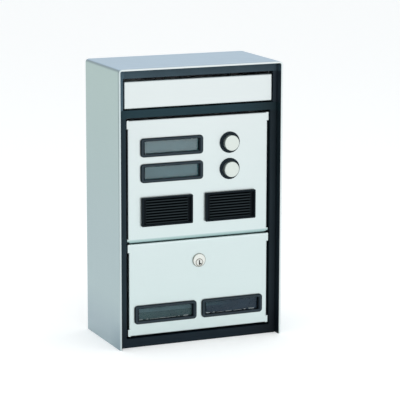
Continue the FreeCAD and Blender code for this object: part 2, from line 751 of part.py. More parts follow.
def letter_flap():
    """A pressed tray whose rim is deeper at the two ends, where it turns on the rod."""
    back = FRAME_Y + FLAP_SIDE_DEPTH
    outer = tray(FLAP_HALF, FLAP_LOW, FLAP_TOP, FRAME_Y, back, SHEET_BEND)
    inner = tray(FLAP_HALF - SHEET_T, FLAP_LOW + SHEET_T, FLAP_TOP - SHEET_T,
                 FRAME_Y + SHEET_T, back + OVERCUT, SHEET_BEND - SHEET_T)
    half = FLAP_HALF - SHEET_BEND
    middle = (FLAP_LOW + FLAP_TOP) / 2
    above = block(-half, half, FRAME_Y + FLAP_TOP_DEPTH, back + OVERCUT, middle, FLAP_TOP + OVERCUT)
    below = block(-half, half, FRAME_Y + FLAP_LOW_DEPTH, back + OVERCUT, FLAP_LOW - OVERCUT, middle)
    pivot = rod_x(FLAP_ROD_R + RUNNING, -FLAP_HALF - OVERCUT, FLAP_HALF + OVERCUT, FLAP_AXIS_Y, FLAP_AXIS_Z)
    return cut_all(outer.cut(inner), [above, below, pivot])


def flap_rod():
    rod = rod_x(FLAP_ROD_R, -FLAP_ROD_HALF, FLAP_ROD_HALF, FLAP_AXIS_Y, FLAP_AXIS_Z)
    return rod.makeChamfer(FLAP_ROD_CHAMFER, round_edges(rod))


def flap_springs():
    """Two torsion springs round the rod; one leg lies on the flap, the other points back into the case."""
    turn = FreeCAD.Rotation(vec(0, -1, 0), vec(0, 0, 1), vec(-1, 0, 0), "XYZ")
    springs = []
    for side in SIDES:
        spring = coil(FLAP_SPRING_R, FLAP_SPRING_WIRE, FLAP_SPRING_PITCH, FLAP_SPRING_TURNS,
                      FLAP_SPRING_LEG, FLAP_SPRING_TAIL)
        start = side * FLAP_SPRING_X + FLAP_SPRING_PITCH * FLAP_SPRING_TURNS / 2
        spring.Placement = FreeCAD.Placement(vec(start, FLAP_AXIS_Y, FLAP_AXIS_Z), turn)
        springs.append(spring)
    return springs


def flap_bumpers():
    """Rubber blocks under the top rail that stop the flap when it is shut."""
    y0 = FRAME_Y + FLAP_TOP_DEPTH + CLEAR
    bumpers = []
    for side in SIDES:
        x = side * BUMPER_X
        pad = block(x - BUMPER_HALF, x + BUMPER_HALF, y0, y0 + BUMPER_DEEP, SLOT_TOP - BUMPER_TALL, SLOT_TOP)
        low_edges = edges_along(pad, "X", lambda p: p.z < SLOT_TOP - OVERCUT)
        bumpers.append(pad.makeFillet(BUMPER_ROUND, low_edges))
    return bumpers


def letter_chute():
    """The sloping sheet from behind the flap over the intercom's rear cover."""
    half = CASING_IN
    above = (CHUTE_START, CHUTE_BEND, CHUTE_EDGE, CHUTE_END)
    below = [(y - CHUTE_T * dy, z - CHUTE_T * dz) for (y, z), (dy, dz) in zip(above, CHUTE_LEANS)]
    outline = [vec(-half, y, z) for y, z in list(above) + below[::-1]]
    outline.append(outline[0])
    return Part.Face(Part.makePolygon(outline)).extrude(vec(2 * half, 0, 0))


# ---- intercom panel and what it carries ----
def through(face_y):
    """From just in front of a sheet to just behind it."""
    return face_y - OVERCUT, face_y + SHEET_T + OVERCUT


def cutout(x, z, wide, tall, face_y):
    return rounded(x, z, wide + CUTOUT_ROOM, tall + CUTOUT_ROOM, CUTOUT_R, *through(face_y))


def intercom_panel():
    """The folded panel, with openings for two name plates, two buttons and two grilles."""
    back = PANEL_Y + PANEL_FLANGE
    face = channel_x(PANEL_HALF - SHEET_BEND, PANEL_Y, back, PANEL_Y + PANEL_LOW_FLANGE, PANEL_LOW, PANEL_TOP,
                     PANEL_BEND)
    sides = channel_z(PANEL_HALF, PANEL_Y, back, PANEL_EAR_LOW + EAR_RELIEF, PANEL_EAR_TOP - EAR_RELIEF)
    tabs = ears(PANEL_HALF - EAR_ROOT, PANEL_Y, PANEL_EAR_TOP, PANEL_TOP, PANEL_TOP)
    tabs += ears(PANEL_HALF - EAR_ROOT, PANEL_Y, PANEL_EAR_FOOT, PANEL_EAR_LOW, PANEL_EAR_FOOT)
    tools = [cutout(x, z, PLATE_SPIGOT_W, PLATE_SPIGOT_H, PANEL_Y) for x, z in PLATES_UPPER]
    tools += [cutout(x, z, SPIGOT_W, SPIGOT_H, PANEL_Y) for x, z in GRILLES]
    tools += [rod_y(COLLAR_BODY_R + RUNNING, *through(PANEL_Y), x, z) for x, z in BUTTONS]
    return cut_all(join([face, sides] + tabs), tools)


def name_bezel(x, z, face_y):
    """A name plate's frame, proud of the sheet, with a spigot through it and a seat for the pane."""
    front = face_y - PLATE_PROUD
    rim = rounded(x, z, PLATE_W, PLATE_H, PLATE_R, front, face_y)
    rim = rim.makeFillet(PLATE_ROUND, edges_at_y(rim, front))
    back = face_y + PLATE_SPIGOT
    spigot = rounded(x, z, PLATE_SPIGOT_W, PLATE_SPIGOT_H, PLATE_SPIGOT_R, face_y - BITE, back)
    window = rounded(x, z, PLATE_OPEN_W, PLATE_OPEN_H, PLATE_OPEN_R, front - OVERCUT, back + OVERCUT)
    seat = rounded(x, z, PANE_W + SNUG, PANE_H + SNUG, PLATE_OPEN_R, face_y + PLATE_SEAT, back + OVERCUT)
    body = join([rim, spigot]).cut(window).cut(seat)
    mouth = [edge for edge in edges_at_y(body, front)
             if abs(edge.BoundBox.Center.x - x) < PLATE_OPEN_W / 2 + SAME
             and edge.BoundBox.XLength < PLATE_OPEN_W + SAME
             and abs(edge.BoundBox.Center.z - z) < PLATE_OPEN_H / 2 + SAME]
    return body.makeChamfer(PLATE_CHAMFER, mouth)


def name_window(x, z, face_y):
    front = face_y + PLATE_SEAT + PANE_GAP
    return rounded(x, z, PANE_W, PANE_H, PANE_R, front, front + PANE_T)


def name_card(x, z, face_y):
    """The card behind the pane."""
    front = face_y + PLATE_SEAT + PANE_T + 2 * PANE_GAP
    return rounded(x, z, PANE_W - CARD_INSET, PANE_H - CARD_INSET, PANE_R, front, front + CARD_T)


def button_collar(x, z):
    """A round bezel with a stepped chamber that keeps the cap's flange in."""
    front = PANEL_Y - COLLAR_PROUD
    ring = rod_y(COLLAR_R, front, PANEL_Y, x, z)
    ring = ring.makeFillet(COLLAR_ROUND, edges_at_y(ring, front))
    body = join([ring, rod_y(COLLAR_BODY_R, PANEL_Y - BITE, COLLAR_BACK, x, z)])
    bore = rod_y(CAP_R + CLEAR, front - OVERCUT, CAP_STEP_Y + BITE, x, z)
    chamber = rod_y(CHAMBER_R, CAP_STEP_Y, COLLAR_BACK - COLLAR_FLOOR, x, z)
    outlet = rod_y(STEM_R + CLEAR, COLLAR_BACK - COLLAR_FLOOR - OVERCUT, COLLAR_BACK + OVERCUT, x, z)
    return body.cut(bore).cut(chamber).cut(outlet)


def button_nut(x, z):
    """A round nut behind the panel, with notches for a pin spanner."""
    y0 = PANEL_Y + SHEET_T
    y1 = y0 + NUT_RING_T
    tools = [rod_y(COLLAR_BODY_R, y0 - OVERCUT, y1 + OVERCUT, x, z)]
    for step in range(NUT_NOTCHES):
        turn = 2 * math.pi * step / NUT_NOTCHES
        reach = COLLAR_BODY_R + NUT_NOTCH_OUT
        tools.append(rod_y(NUT_NOTCH_R, y0 - OVERCUT, y1 + OVERCUT,
                           x + reach * math.cos(turn), z + reach * math.sin(turn)))
    return cut_all(rod_y(COLLAR_BODY_R + NUT_RING, y0, y1, x, z), tools)


def button_cap(x, z):
    """A satin metal cap with a skirt, a retaining flange and a stem for the switch."""
    flange_y = CAP_STEP_Y + CLEAR
    end_y = flange_y + CAP_FLANGE_T
    shell = rod_y(CAP_R, CAP_Y, end_y, x, z)
    shell = shell.makeFillet(CAP_ROUND, edges_at_y(shell, CAP_Y))
    body = join([shell, rod_y(CAP_FLANGE_R, flange_y, end_y, x, z)])
    body = body.cut(rod_y(CAP_R - CAP_WALL, CAP_Y + CAP_FACE, end_y + OVERCUT, x, z))
    return join([body, rod_y(STEM_R, CAP_Y + CAP_FACE - BITE, STEM_END, x, z)])


def button_spring(x, z):
    """The return spring round the stem, between the cap's face and the collar's floor."""
    rise = BUTTON_SPRING_END - BUTTON_SPRING_START
    spring = coil(BUTTON_SPRING_R, BUTTON_SPRING_WIRE, rise / BUTTON_SPRING_TURNS, BUTTON_SPRING_TURNS, 0, 0)
    spring.Placement = FreeCAD.Placement(vec(x, BUTTON_SPRING_START, z),
                                         FreeCAD.Rotation(vec(0, 0, 1), vec(0, 1, 0)))
    return spring


def button_switch(x, z):
    """A tactile switch on the circuit board, in line with the button's stem."""
    tip = STEM_END + TRAVEL + CLEAR
    body_y = tip + SWITCH_TIP_T
    body = block(x - SWITCH_HALF, x + SWITCH_HALF, body_y, BOARD_FRONT, z - SWITCH_HALF, z + SWITCH_HALF)
    body = body.makeFillet(SWITCH_ROUND, edges_along(body, "Y"))
    return join([body, rod_y(SWITCH_TIP_R, tip, body_y + BITE, x, z)])


def louvre(x, low, front, back):
    """One sloping blade: a narrow upright face in front, rising towards the back."""
    x0 = x - LOUVRE_W / 2 - BITE
    outline = [vec(x0, front, low), vec(x0, front, low + LOUVRE_FACE),
               vec(x0, back, low + LOUVRE_FACE + LOUVRE_RISE), vec(x0, back, low + LOUVRE_RISE + LOUVRE_TAIL)]
    outline.append(outline[0])
    return Part.Face(Part.makePolygon(outline)).extrude(vec(LOUVRE_W + 2 * BITE, 0, 0))


def grille(x, z):
    """A louvred grille: proud rim, sunk floor, sloping blades, and a spigot through the panel."""
    front = PANEL_Y - GRILLE_PROUD
    floor = front + GRILLE_DEEP
    end = PANEL_Y + SPIGOT_DEEP
    rim = rounded(x, z, GRILLE_W, GRILLE_H, GRILLE_R, front, PANEL_Y)
    rim = rim.makeFillet(GRILLE_ROUND, edges_at_y(rim, front))
    spigot = rounded(x, z, SPIGOT_W, SPIGOT_H, SPIGOT_R, PANEL_Y - BITE, end)
    pocket = rounded(x, z, GRILLE_W - 2 * GRILLE_RIM, GRILLE_H - 2 * GRILLE_RIM, GRILLE_POCKET_R,
                     front - OVERCUT, floor)
    behind = rounded(x, z, SPIGOT_W - 2 * SPIGOT_SIDE, SPIGOT_H - 2 * SPIGOT_EDGE, SPIGOT_R,
                     floor + GRILLE_FLOOR, end + OVERCUT)
    tall = LOUVRES * LOUVRE_PITCH
    window = block(x - LOUVRE_W / 2, x + LOUVRE_W / 2, front, end + OVERCUT, z - tall / 2, z + tall / 2)
    body = join([rim, spigot]).cut(pocket).cut(behind).cut(window)
    inside = rounded(x, z, SPIGOT_W - 2 * BITE, SPIGOT_H - 2 * BITE, SPIGOT_R, front, end)
    blades = [louvre(x, z - tall / 2 + step * LOUVRE_PITCH, floor - LOUVRE_FRONT, PANEL_Y + LOUVRE_BACK)
              for step in range(LOUVRES)]
    return join([body] + [blade.common(inside) for blade in blades])


def loudspeaker(x, z):
    """A round loudspeaker: flanged basket, magnet, hollow cone and dust dome."""
    rim_y = SPEAKER_Y + BASKET_RIM_T
    rim = rod_y(SPEAKER_R, SPEAKER_Y, rim_y, x, z)
    basket = cone_y(BASKET_R, BASKET_BACK_R, rim_y - BITE, SPEAKER_Y + BASKET_END, x, z)
    magnet = rod_y(MAGNET_R, SPEAKER_Y + BASKET_END, SPEAKER_Y + MAGNET_END, x, z)
    cone = cone_y(CONE_R, CONE_FLOOR_R, SPEAKER_Y - SAME, SPEAKER_Y + CONE_DEEP, x, z)
    dome = rod_y(CONE_FLOOR_R, SPEAKER_Y + DOME_Y, SPEAKER_Y + CONE_DEEP + OVERCUT, x, z)
    return join([join([rim, basket, magnet]).cut(cone), dome])


def speaker_gasket(x, z):
    y1 = SPEAKER_Y
    y0 = y1 - GASKET_T
    ring = rod_y(SPEAKER_R, y0, y1, x, z).common(rounded(x, z, 2 * SPEAKER_R, SPIGOT_H, SPIGOT_R, y0, y1))
    hole = rounded(x, z, 2 * (SPEAKER_R - GASKET_SIDE), SPIGOT_H - 2 * GASKET_EDGE, SPIGOT_R,
                   y0 - OVERCUT, y1 + OVERCUT)
    return ring.cut(hole)


def microphone(x, z):
    can = rod_y(MIC_R, MIC_Y, MIC_Y + MIC_T, x, z)
    pin_y0, pin_y1 = MIC_Y + MIC_T - BITE, MIC_Y + MIC_PIN_END
    return join([can] + [rod_y(MIC_PIN_R, pin_y0, pin_y1, x + side * MIC_PIN_X, z) for side in SIDES])


def microphone_boot(x, z):
    """A rubber boot that holds the microphone behind its grille."""
    end = BOOT_Y + BOOT_T
    boot = rod_y(BOOT_R, BOOT_Y, end, x, z)
    boot = boot.makeFillet(BOOT_ROUND, edges_at_y(boot, end))
    seat = rod_y(MIC_R, MIC_Y, MIC_Y + MIC_T, x, z)
    sound = rod_y(BOOT_SOUND_R, BOOT_Y - OVERCUT, MIC_Y + BITE, x, z)
    wires = rod_y(BOOT_WIRE_R, MIC_Y + MIC_T - BITE, end + OVERCUT, x, z)
    return boot.cut(seat).cut(sound).cut(wires)


# ---- electronics ----
def circuit_board():
    board = block(-BOARD_HALF, BOARD_HALF, BOARD_FRONT, BOARD_BACK, BOARD_LOW, BOARD_TOP)
    board = board.makeFillet(BOARD_R, edges_along(board, "Y"))
    return cut_all(board, [rod_y(BOARD_HOLE_R, BOARD_FRONT - OVERCUT, BOARD_BACK + OVERCUT, x, z)
                           for x, z in BOARD_HOLES])


def board_chips():
    """The few tall parts on the board's front: amplifier, two capacitors and the volume trimmer."""
    x0, x1, z0, z1, tall = CHIP
    parts = [block(x0, x1, BOARD_FRONT - tall, BOARD_FRONT, z0, z1)]
    parts += [rod_y(CAPACITOR_R, BOARD_FRONT - CAPACITOR_T, BOARD_FRONT, x, z) for x, z in CAPACITORS]
    x0, x1, z0, z1, tall = TRIMMER
    top_y = BOARD_FRONT - tall
    slot = rod_y(TRIMMER_R, top_y - OVERCUT, top_y + OVERCUT, (x0 + x1) / 2, (z0 + z1) / 2)
    return parts + [block(x0, x1, top_y, BOARD_FRONT, z0, z1).cut(slot)]


def board_standoffs():
    bore_y0, bore_y1 = BOARD_BACK - OVERCUT, BOARD_BACK + STANDOFF_BORE_DEEP
    posts = []
    for x, z in BOARD_HOLES:
        post = hexagon_y(STANDOFF_ACROSS, BOARD_BACK, COVER_BACK - COVER_T, x, z)
        posts.append(post.cut(rod_y(STANDOFF_BORE, bore_y0, bore_y1, x, z)))
    return posts


def board_screws():
    end_y = BOARD_FRONT + BOARD_SCREW_REACH
    return [screw_y(BOARD_HEAD_R, BOARD_HEAD_T, BOARD_FRONT, STANDOFF_BORE, end_y, x, z)
            for x, z in BOARD_HOLES]


def terminal_block():
    """Screw terminals on the back of the board, with a wire door below each screw."""
    end = BOARD_BACK + TERMINAL_DEEP
    body = block(-TERMINAL_HALF, TERMINAL_HALF, BOARD_BACK, end, TERMINAL_LOW, TERMINAL_TOP)
    door_y0, door_y1 = [BOARD_BACK + y for y in WIRE_DOOR_Y]
    tools = []
    for step in range(TERMINALS):
        x = -TERMINAL_HALF + (step + 0.5) * TERMINAL_PITCH
        tools.append(rod_y(WELL_R, end - WELL_DEEP, end + OVERCUT, x, (TERMINAL_LOW + TERMINAL_TOP) / 2))
        tools.append(block(x - WIRE_DOOR_HALF, x + WIRE_DOOR_HALF, door_y0, door_y1,
                           TERMINAL_LOW - OVERCUT, TERMINAL_LOW + WIRE_DOOR_TALL))
    return cut_all(body, tools)


def intercom_rear_cover():
    """A plastic tray over the electronics, with lugs on the panel's studs and a hole for the cable."""
    outer = block(-COVER_HALF, COVER_HALF, COVER_FRONT, COVER_BACK, COVER_LOW, COVER_TOP)
    outer = outer.makeFillet(COVER_R, edges_along(outer, "Y"))
    outer = outer.makeFillet(COVER_ROUND, edges_at_y(outer, COVER_BACK))
    wide, tall = 2 * (COVER_HALF - COVER_T), COVER_TOP - COVER_LOW - 2 * COVER_T
    hollow = rounded(0, (COVER_LOW + COVER_TOP) / 2, wide, tall, COVER_R - BITE,
                     COVER_FRONT - OVERCUT, COVER_BACK - COVER_T)
    lugs = []
    for x, z in STUDS:
        side = math.copysign(1, x)
        lugs.append(side_block(side, COVER_HALF - OVERCUT, LUG_OUT, COVER_FRONT, COVER_FRONT + LUG_T,
                               z - LUG_HALF, z + LUG_HALF))
    lug_y0, lug_y1 = COVER_FRONT - OVERCUT, COVER_FRONT + LUG_T + OVERCUT
    holes = [rod_y(STUD_R + SNUG, lug_y0, lug_y1, x, z) for x, z in STUDS]
    holes.append(side_rod(COVER_CABLE_R, -1, COVER_HALF - 2 * COVER_T, COVER_HALF + OVERCUT,
                          COVER_CABLE_Y, CABLE_Z))
    vent_y0, vent_y1 = COVER_BACK - COVER_T - OVERCUT, COVER_BACK + OVERCUT
    holes += [rod_y(VENT_R, vent_y0, vent_y1, VENT_X + VENT_PITCH * step, VENT_Z) for step in range(VENTS)]
    return cut_all(join([outer.cut(hollow)] + lugs), holes)


def panel_studs():
    """Weld studs on the back of the intercom panel, each with a flat weld collar."""
    start = PANEL_Y + SHEET_T
    studs = []
    for x, z in STUDS:
        collar = rod_y(WELD_R, start, start + WELD_T, x, z)
        studs.append(join([rod_y(STUD_R, start, start + STUD_LENGTH, x, z), collar]))
    return studs


def stud_spacers():
    """Tubes on the studs between the rear cover's lugs and the clamps."""
    y0 = COVER_FRONT + LUG_T
    spacers = []
    for x, z in STUDS:
        bore = rod_y(STUD_R + RUNNING, y0 - OVERCUT, CLAMP_Y + OVERCUT, x, z)
        spacers.append(rod_y(SPACER_R, y0, CLAMP_Y, x, z).cut(bore))
    return spacers


def panel_clamps():
    """Steel fingers on the studs that reach behind the moulding and hold the panel in."""
    end = CLAMP_Y + CLAMP_T
    fingers = []
    for x, z in STUDS:
        middle = math.copysign((CLAMP_IN + CLAMP_OUT) / 2, x)
        finger = rounded(middle, z, CLAMP_OUT - CLAMP_IN, CLAMP_H, CLAMP_R, CLAMP_Y, end)
        fingers.append(finger.cut(rod_y(STUD_R + RUNNING, CLAMP_Y - OVERCUT, end + OVERCUT, x, z)))
    return fingers


def stud_nuts():
    y0 = CLAMP_Y + CLAMP_T
    return [nut_y(STUD_NUT_ACROSS, STUD_R, y0, y0 + STUD_NUT_T, x, z) for x, z in STUDS]


# ---- door and lock ----
def door():
    """The folded door: side flanges between the corner tabs, tails for the hinge pins, a lock hole."""
    back = FRAME_Y + DOOR_FLANGE
    face = channel_x(DOOR_HALF - SHEET_BEND, FRAME_Y, back, FRAME_Y + DOOR_LOW_FLANGE,
                     DOOR_LOW, DOOR_TOP, SHEET_BEND)
    flange_y, past = FRAME_Y + FLANGE_START, back + OVERCUT
    for side in SIDES:
        low_end = side_block(side, FLANGE_END, DOOR_HALF, flange_y, past, DOOR_LOW - OVERCUT, DOOR_EAR_LOW)
        top_end = side_block(side, FLANGE_END, DOOR_HALF, flange_y, past, DOOR_EAR_TOP, DOOR_TOP + OVERCUT)
        face = face.cut(low_end).cut(top_end)
    sides = channel_z(DOOR_HALF, FRAME_Y, back, DOOR_EAR_LOW + EAR_RELIEF, DOOR_EAR_TOP - EAR_RELIEF)
    tails = []
    for side in SIDES:
        tail = side_block(side, DOOR_HALF - SHEET_T, DOOR_HALF, flange_y, FRAME_Y + TAIL_DEEP,
                          TAIL_FOOT, DOOR_EAR_LOW + TAIL_R)
        tails.append(tail.makeFillet(TAIL_R, edges_along(tail, "X", lambda p: p.z < TAIL_FOOT + SAME)))
    tabs = ears(DOOR_HALF - EAR_ROOT, FRAME_Y, DOOR_EAR_TOP, DOOR_TOP, DOOR_TOP)
    tabs += ears(DOOR_HALF - EAR_ROOT, FRAME_Y, DOOR_LOW, DOOR_EAR_LOW, DOOR_LOW)
    tools = [cutout(x, z, PLATE_SPIGOT_W, PLATE_SPIGOT_H, FRAME_Y) for x, z in PLATES_LOWER]
    tools.append(rod_y(BARREL_R, *through(FRAME_Y), 0, LOCK_Z))
    tools += [side_rod(HINGE_PIN_R + RUNNING, side, DOOR_HALF - SHEET_T - OVERCUT, DOOR_HALF + OVERCUT,
                       HINGE_Y, HINGE_Z) for side in SIDES]
    return cut_all(join([face, sides] + tails + tabs), tools)


def door_hinge_pins():
    """A headed pin through each tail of the door into the moulding."""
    pins = []
    for side in SIDES:
        head = side_rod(HINGE_HEAD_R, side, HINGE_HEAD_IN, HINGE_HEAD_IN + HINGE_HEAD_T, HINGE_Y, HINGE_Z)
        head = head.makeFillet(HINGE_HEAD_ROUND, round_edges(head))
        shank = side_rod(HINGE_PIN_R, side, HINGE_HEAD_IN + OVERCUT, OPEN_HALF + RETURN_T, HINGE_Y, HINGE_Z)
        pins.append(join([head, shank]))
    return pins


def hinge_bushes():
    """Bushes on the pins that keep the door in the middle of its opening."""
    bushes = []
    for side in SIDES:
        inner, outer = DOOR_HALF + CLEAR, OPEN_HALF
        bush = side_rod(BUSH_R, side, inner, outer, HINGE_Y, HINGE_Z)
        bore = side_rod(HINGE_PIN_R, side, inner - OVERCUT, outer + OVERCUT, HINGE_Y, HINGE_Z)
        bushes.append(bush.cut(bore))
    return bushes


def lock_body():
    """A round face and a threaded barrel with two flats; the plug's bore is below the middle."""
    front = FRAME_Y - LOCK_PROUD
    face = rod_y(LOCK_R, front, FRAME_Y, 0, LOCK_Z)
    face = face.makeFillet(LOCK_ROUND, edges_at_y(face, front))
    body = join([face, rod_y(BARREL_R, FRAME_Y - BITE, LOCK_BACK, 0, LOCK_Z)])
    flat_y = FRAME_Y + SHEET_T + NUT_T + OVERCUT
    tools = [side_block(side, BARREL_FLAT, BARREL_R + OVERCUT, flat_y, LOCK_BACK + OVERCUT,
                        LOCK_Z - BARREL_R, LOCK_Z + BARREL_R) for side in SIDES]
    step_y = FRAME_Y + PLUG_STEP + RUNNING
    tools.append(rod_y(PLUG_FACE_R + RUNNING, front - OVERCUT, step_y, 0, PLUG_Z))
    tools.append(rod_y(PLUG_R + RUNNING, step_y - BITE, LOCK_BACK + OVERCUT, 0, PLUG_Z))
    return body.cut(Part.makeCompound(tools[:2])).cut(tools[2]).cut(tools[3])


def lock_nut():
    y0 = FRAME_Y + SHEET_T
    return nut_y(NUT_ACROSS, BARREL_R, y0, y0 + NUT_T, 0, LOCK_Z)


def lock_plug():
    """The plug with its keyway; a square tail carries the cam."""
    front = FRAME_Y - PLUG_PROUD
    face = rod_y(PLUG_FACE_R, front, FRAME_Y + PLUG_STEP, 0, PLUG_Z)
    face = face.makeFillet(PLUG_ROUND, edges_at_y(face, front))
    end = LOCK_BACK + PLUG_TAIL
    tail = block(-TAIL_HALF, TAIL_HALF, LOCK_BACK, end + CAM_T, PLUG_Z - TAIL_HALF, PLUG_Z + TAIL_HALF)
    body = join([face, rod_y(PLUG_R, FRAME_Y, end, 0, PLUG_Z), tail])
    slot = block(-KEYWAY_HALF, KEYWAY_HALF, front - OVERCUT, FRAME_Y + KEYWAY_DEEP,
                 PLUG_Z - KEYWAY_LOW, PLUG_Z + KEYWAY_TOP)
    x0, x1, z0, z1 = KEYWAY_SIDE
    ward = block(x0, x1, front - OVERCUT, front + KEYWAY_SIDE_DEEP, PLUG_Z + z0, PLUG_Z + z1)
    screw_hole = rod_y(CAM_SCREW_R, LOCK_BACK - CAM_SCREW_REACH - OVERCUT, end + CAM_T + OVERCUT, 0, PLUG_Z)
    return body.cut(join([slot, ward])).cut(screw_hole)


def lock_cam():
    """The cam lies level when unlocked; a quarter turn puts its tip up behind the strike bar."""
    y0 = LOCK_BACK + PLUG_TAIL
    arm = block(-CAM_BEHIND, CAM_LENGTH, y0, y0 + CAM_T, PLUG_Z - CAM_HALF, PLUG_Z + CAM_HALF)
    arm = arm.makeFillet(CAM_ROUND, edges_along(arm, "Y"))
    return arm.cut(block(-TAIL_HALF, TAIL_HALF, y0 - OVERCUT, y0 + CAM_T + OVERCUT,
                         PLUG_Z - TAIL_HALF, PLUG_Z + TAIL_HALF))


def lock_cam_screw():
    seat_y = LOCK_BACK + PLUG_TAIL + CAM_T
    end_y = LOCK_BACK - CAM_SCREW_REACH
    return screw_y(CAM_SCREW_HEAD_R, CAM_SCREW_HEAD_T, seat_y, CAM_SCREW_R, end_y, 0, PLUG_Z)


def strike_bar():
    """A steel angle across the case between door and intercom; its middle hangs down behind the door."""
    top = STRIKE_Z + STRIKE_T
    shelf = block(-STRIKE_HALF, STRIKE_HALF, STRIKE_Y, STRIKE_Y + STRIKE_DEEP, STRIKE_Z, top)
    lip = block(-STRIKE_LIP_HALF, STRIKE_LIP_HALF, STRIKE_Y, STRIKE_Y + STRIKE_RIB_T, STRIKE_LIP_Z, top)
    lip = lip.makeFillet(STRIKE_LIP_R, edges_along(lip, "Y", lambda p: p.z < STRIKE_LIP_Z + SAME))
    rib = block(-STRIKE_HALF, STRIKE_HALF, STRIKE_Y, STRIKE_Y + STRIKE_RIB_T, STRIKE_RIB_LOW, top)
    tabs = [side_block(side, STRIKE_HALF - STRIKE_T, STRIKE_HALF, STRIKE_TAB_Y, STRIKE_Y + STRIKE_DEEP,
                       STRIKE_TAB_LOW, top) for side in SIDES]
    holes = [side_rod(STRIKE_SCREW_R + RUNNING, side, STRIKE_HALF - STRIKE_T - OVERCUT, STRIKE_HALF + OVERCUT,
                      STRIKE_SCREW_Y, STRIKE_SCREW_Z) for side in SIDES]
    return cut_all(join([shelf, lip, rib] + tabs), holes)


def strike_screws():
    seat = STRIKE_HALF - STRIKE_T
    screws = []
    for side in SIDES:
        head = side_rod(STRIKE_HEAD_R, side, seat - STRIKE_HEAD_T, seat, STRIKE_SCREW_Y, STRIKE_SCREW_Z)
        shank = side_rod(STRIKE_SCREW_R, side, seat - BITE, CASING_OUT - RUNNING,
                         STRIKE_SCREW_Y, STRIKE_SCREW_Z)
        screws.append(join([head, shank]))
    return screws


# ---- cable entry ----
def cable_duct():
    """A channel along the left wall that leads the door wiring past the letters."""
    x0, x1 = CABLE_X - DUCT_HALF, CABLE_X + DUCT_HALF
    z0, z1 = CABLE_Z - DUCT_TALL, CABLE_Z + DUCT_TALL
    body = block(x0, x1, DUCT_Y, BACK_Y, z0, z1)
    body = body.makeFillet(DUCT_R, edges_along(body, "Y", lambda p: p.x > CABLE_X))
    hollow = block(x0 - OVERCUT, x1 - DUCT_T, DUCT_Y - OVERCUT, BACK_Y + OVERCUT, z0 + DUCT_T, z1 - DUCT_T)
    hollow = hollow.makeFillet(DUCT_R - DUCT_T, edges_along(hollow, "Y", lambda p: p.x > CABLE_X))
    flange = block(x0, x1, BACK_Y - DUCT_T, BACK_Y, z0 - DUCT_FOOT, z1 + DUCT_FOOT)
    flange = flange.makeFillet(DUCT_R, edges_along(flange, "Y"))
    foot_y = BACK_Y - DUCT_T - OVERCUT
    holes = [rod_y(DUCT_SCREW_R, foot_y, BACK_Y + OVERCUT, CABLE_X, z) for z in DUCT_SCREW_Z]
    return cut_all(join([body, flange]).cut(hollow), holes)


def duct_screws():
    return [screw_y(DUCT_HEAD_R, DUCT_HEAD_T, BACK_Y - DUCT_T, DUCT_SCREW_R, BACK_Y + BACK_T, CABLE_X, z)
            for z in DUCT_SCREW_Z]


def cable_grommet():
    """A rubber grommet in the back plate, bored for the cable."""
    outer_y = BACK_Y + BACK_T
    inside = rod_y(GROMMET_R, BACK_Y - GROMMET_IN, BACK_Y, CABLE_X, CABLE_Z)
    neck = rod_y(GROMMET_HOLE_R, BACK_Y - BITE, outer_y + BITE, CABLE_X, CABLE_Z)
    outside = rod_y(GROMMET_R, outer_y, WALL - GROMMET_BELOW, CABLE_X, CABLE_Z)
    bore = rod_y(CABLE_R, BACK_Y - GROMMET_IN - OVERCUT, WALL + OVERCUT, CABLE_X, CABLE_Z)
    return join([inside, neck, outside]).cut(bore)


# ---- write every node ----
save("hood", [hood()])
save("casing_screws", casing_screws())
save("back_plate", [back_plate()])
save("inner_casing", [inner_casing()])
save("slot_frame", [slot_frame()])
save("door_frame", [door_frame()])
save("frame_screws", frame_screws())
save("letter_flap", [letter_flap()])
save("flap_rod", [flap_rod()])
save("flap_springs", flap_springs())
save("flap_bumpers", flap_bumpers())
save("letter_chute", [letter_chute()])
save("intercom_panel", [intercom_panel()])
for number, (x, z) in enumerate(PLATES_UPPER, 1):
    save("name_bezel_%d" % number, [name_bezel(x, z, PANEL_Y)])
    save("name_window_%d" % number, [name_window(x, z, PANEL_Y)])
save("name_cards", [name_card(x, z, PANEL_Y) for x, z in PLATES_UPPER])
for number, (x, z) in enumerate(PLATES_LOWER, 1 + len(PLATES_UPPER)):
    save("name_bezel_%d" % number, [name_bezel(x, z, FRAME_Y)])
    save("name_window_%d" % number, [name_window(x, z, FRAME_Y)])
for number, (x, z) in enumerate(BUTTONS, 1):
    save("button_collar_%d" % number, [button_collar(x, z)])
    save("button_cap_%d" % number, [button_cap(x, z)])
    save("button_spring_%d" % number, [button_spring(x, z)])
save("button_nuts", [button_nut(x, z) for x, z in BUTTONS])
save("button_switches", [button_switch(x, z) for x, z in BUTTONS])
save("speaker_grille", [grille(*GRILLES[0])])
save("microphone_grille", [grille(*GRILLES[1])])
save("loudspeaker", [loudspeaker(*GRILLES[0])])
save("speaker_gasket", [speaker_gasket(*GRILLES[0])])
save("microphone", [microphone(*GRILLES[1])])
save("microphone_boot", [microphone_boot(*GRILLES[1])])
save("circuit_board", [circuit_board()])
save("board_chips", board_chips())
save("board_standoffs", board_standoffs())
save("board_screws", board_screws())
save("terminal_block", [terminal_block()])
save("intercom_rear_cover", [intercom_rear_cover()])
save("panel_studs", panel_studs())
save("stud_spacers", stud_spacers())
save("panel_clamps", panel_clamps())
save("stud_nuts", stud_nuts())
save("door", [door()])
save("door_hinge_pins", door_hinge_pins())
save("hinge_bushes", hinge_bushes())
save("lock_body", [lock_body()])
save("lock_nut", [lock_nut()])
save("lock_plug", [lock_plug()])
save("lock_cam", [lock_cam()])
save("lock_cam_screw", [lock_cam_screw()])
save("strike_bar", [strike_bar()])
save("strike_screws", strike_screws())
save("cable_duct", [cable_duct()])
save("duct_screws", duct_screws())
save("cable_grommet", [cable_grommet()])
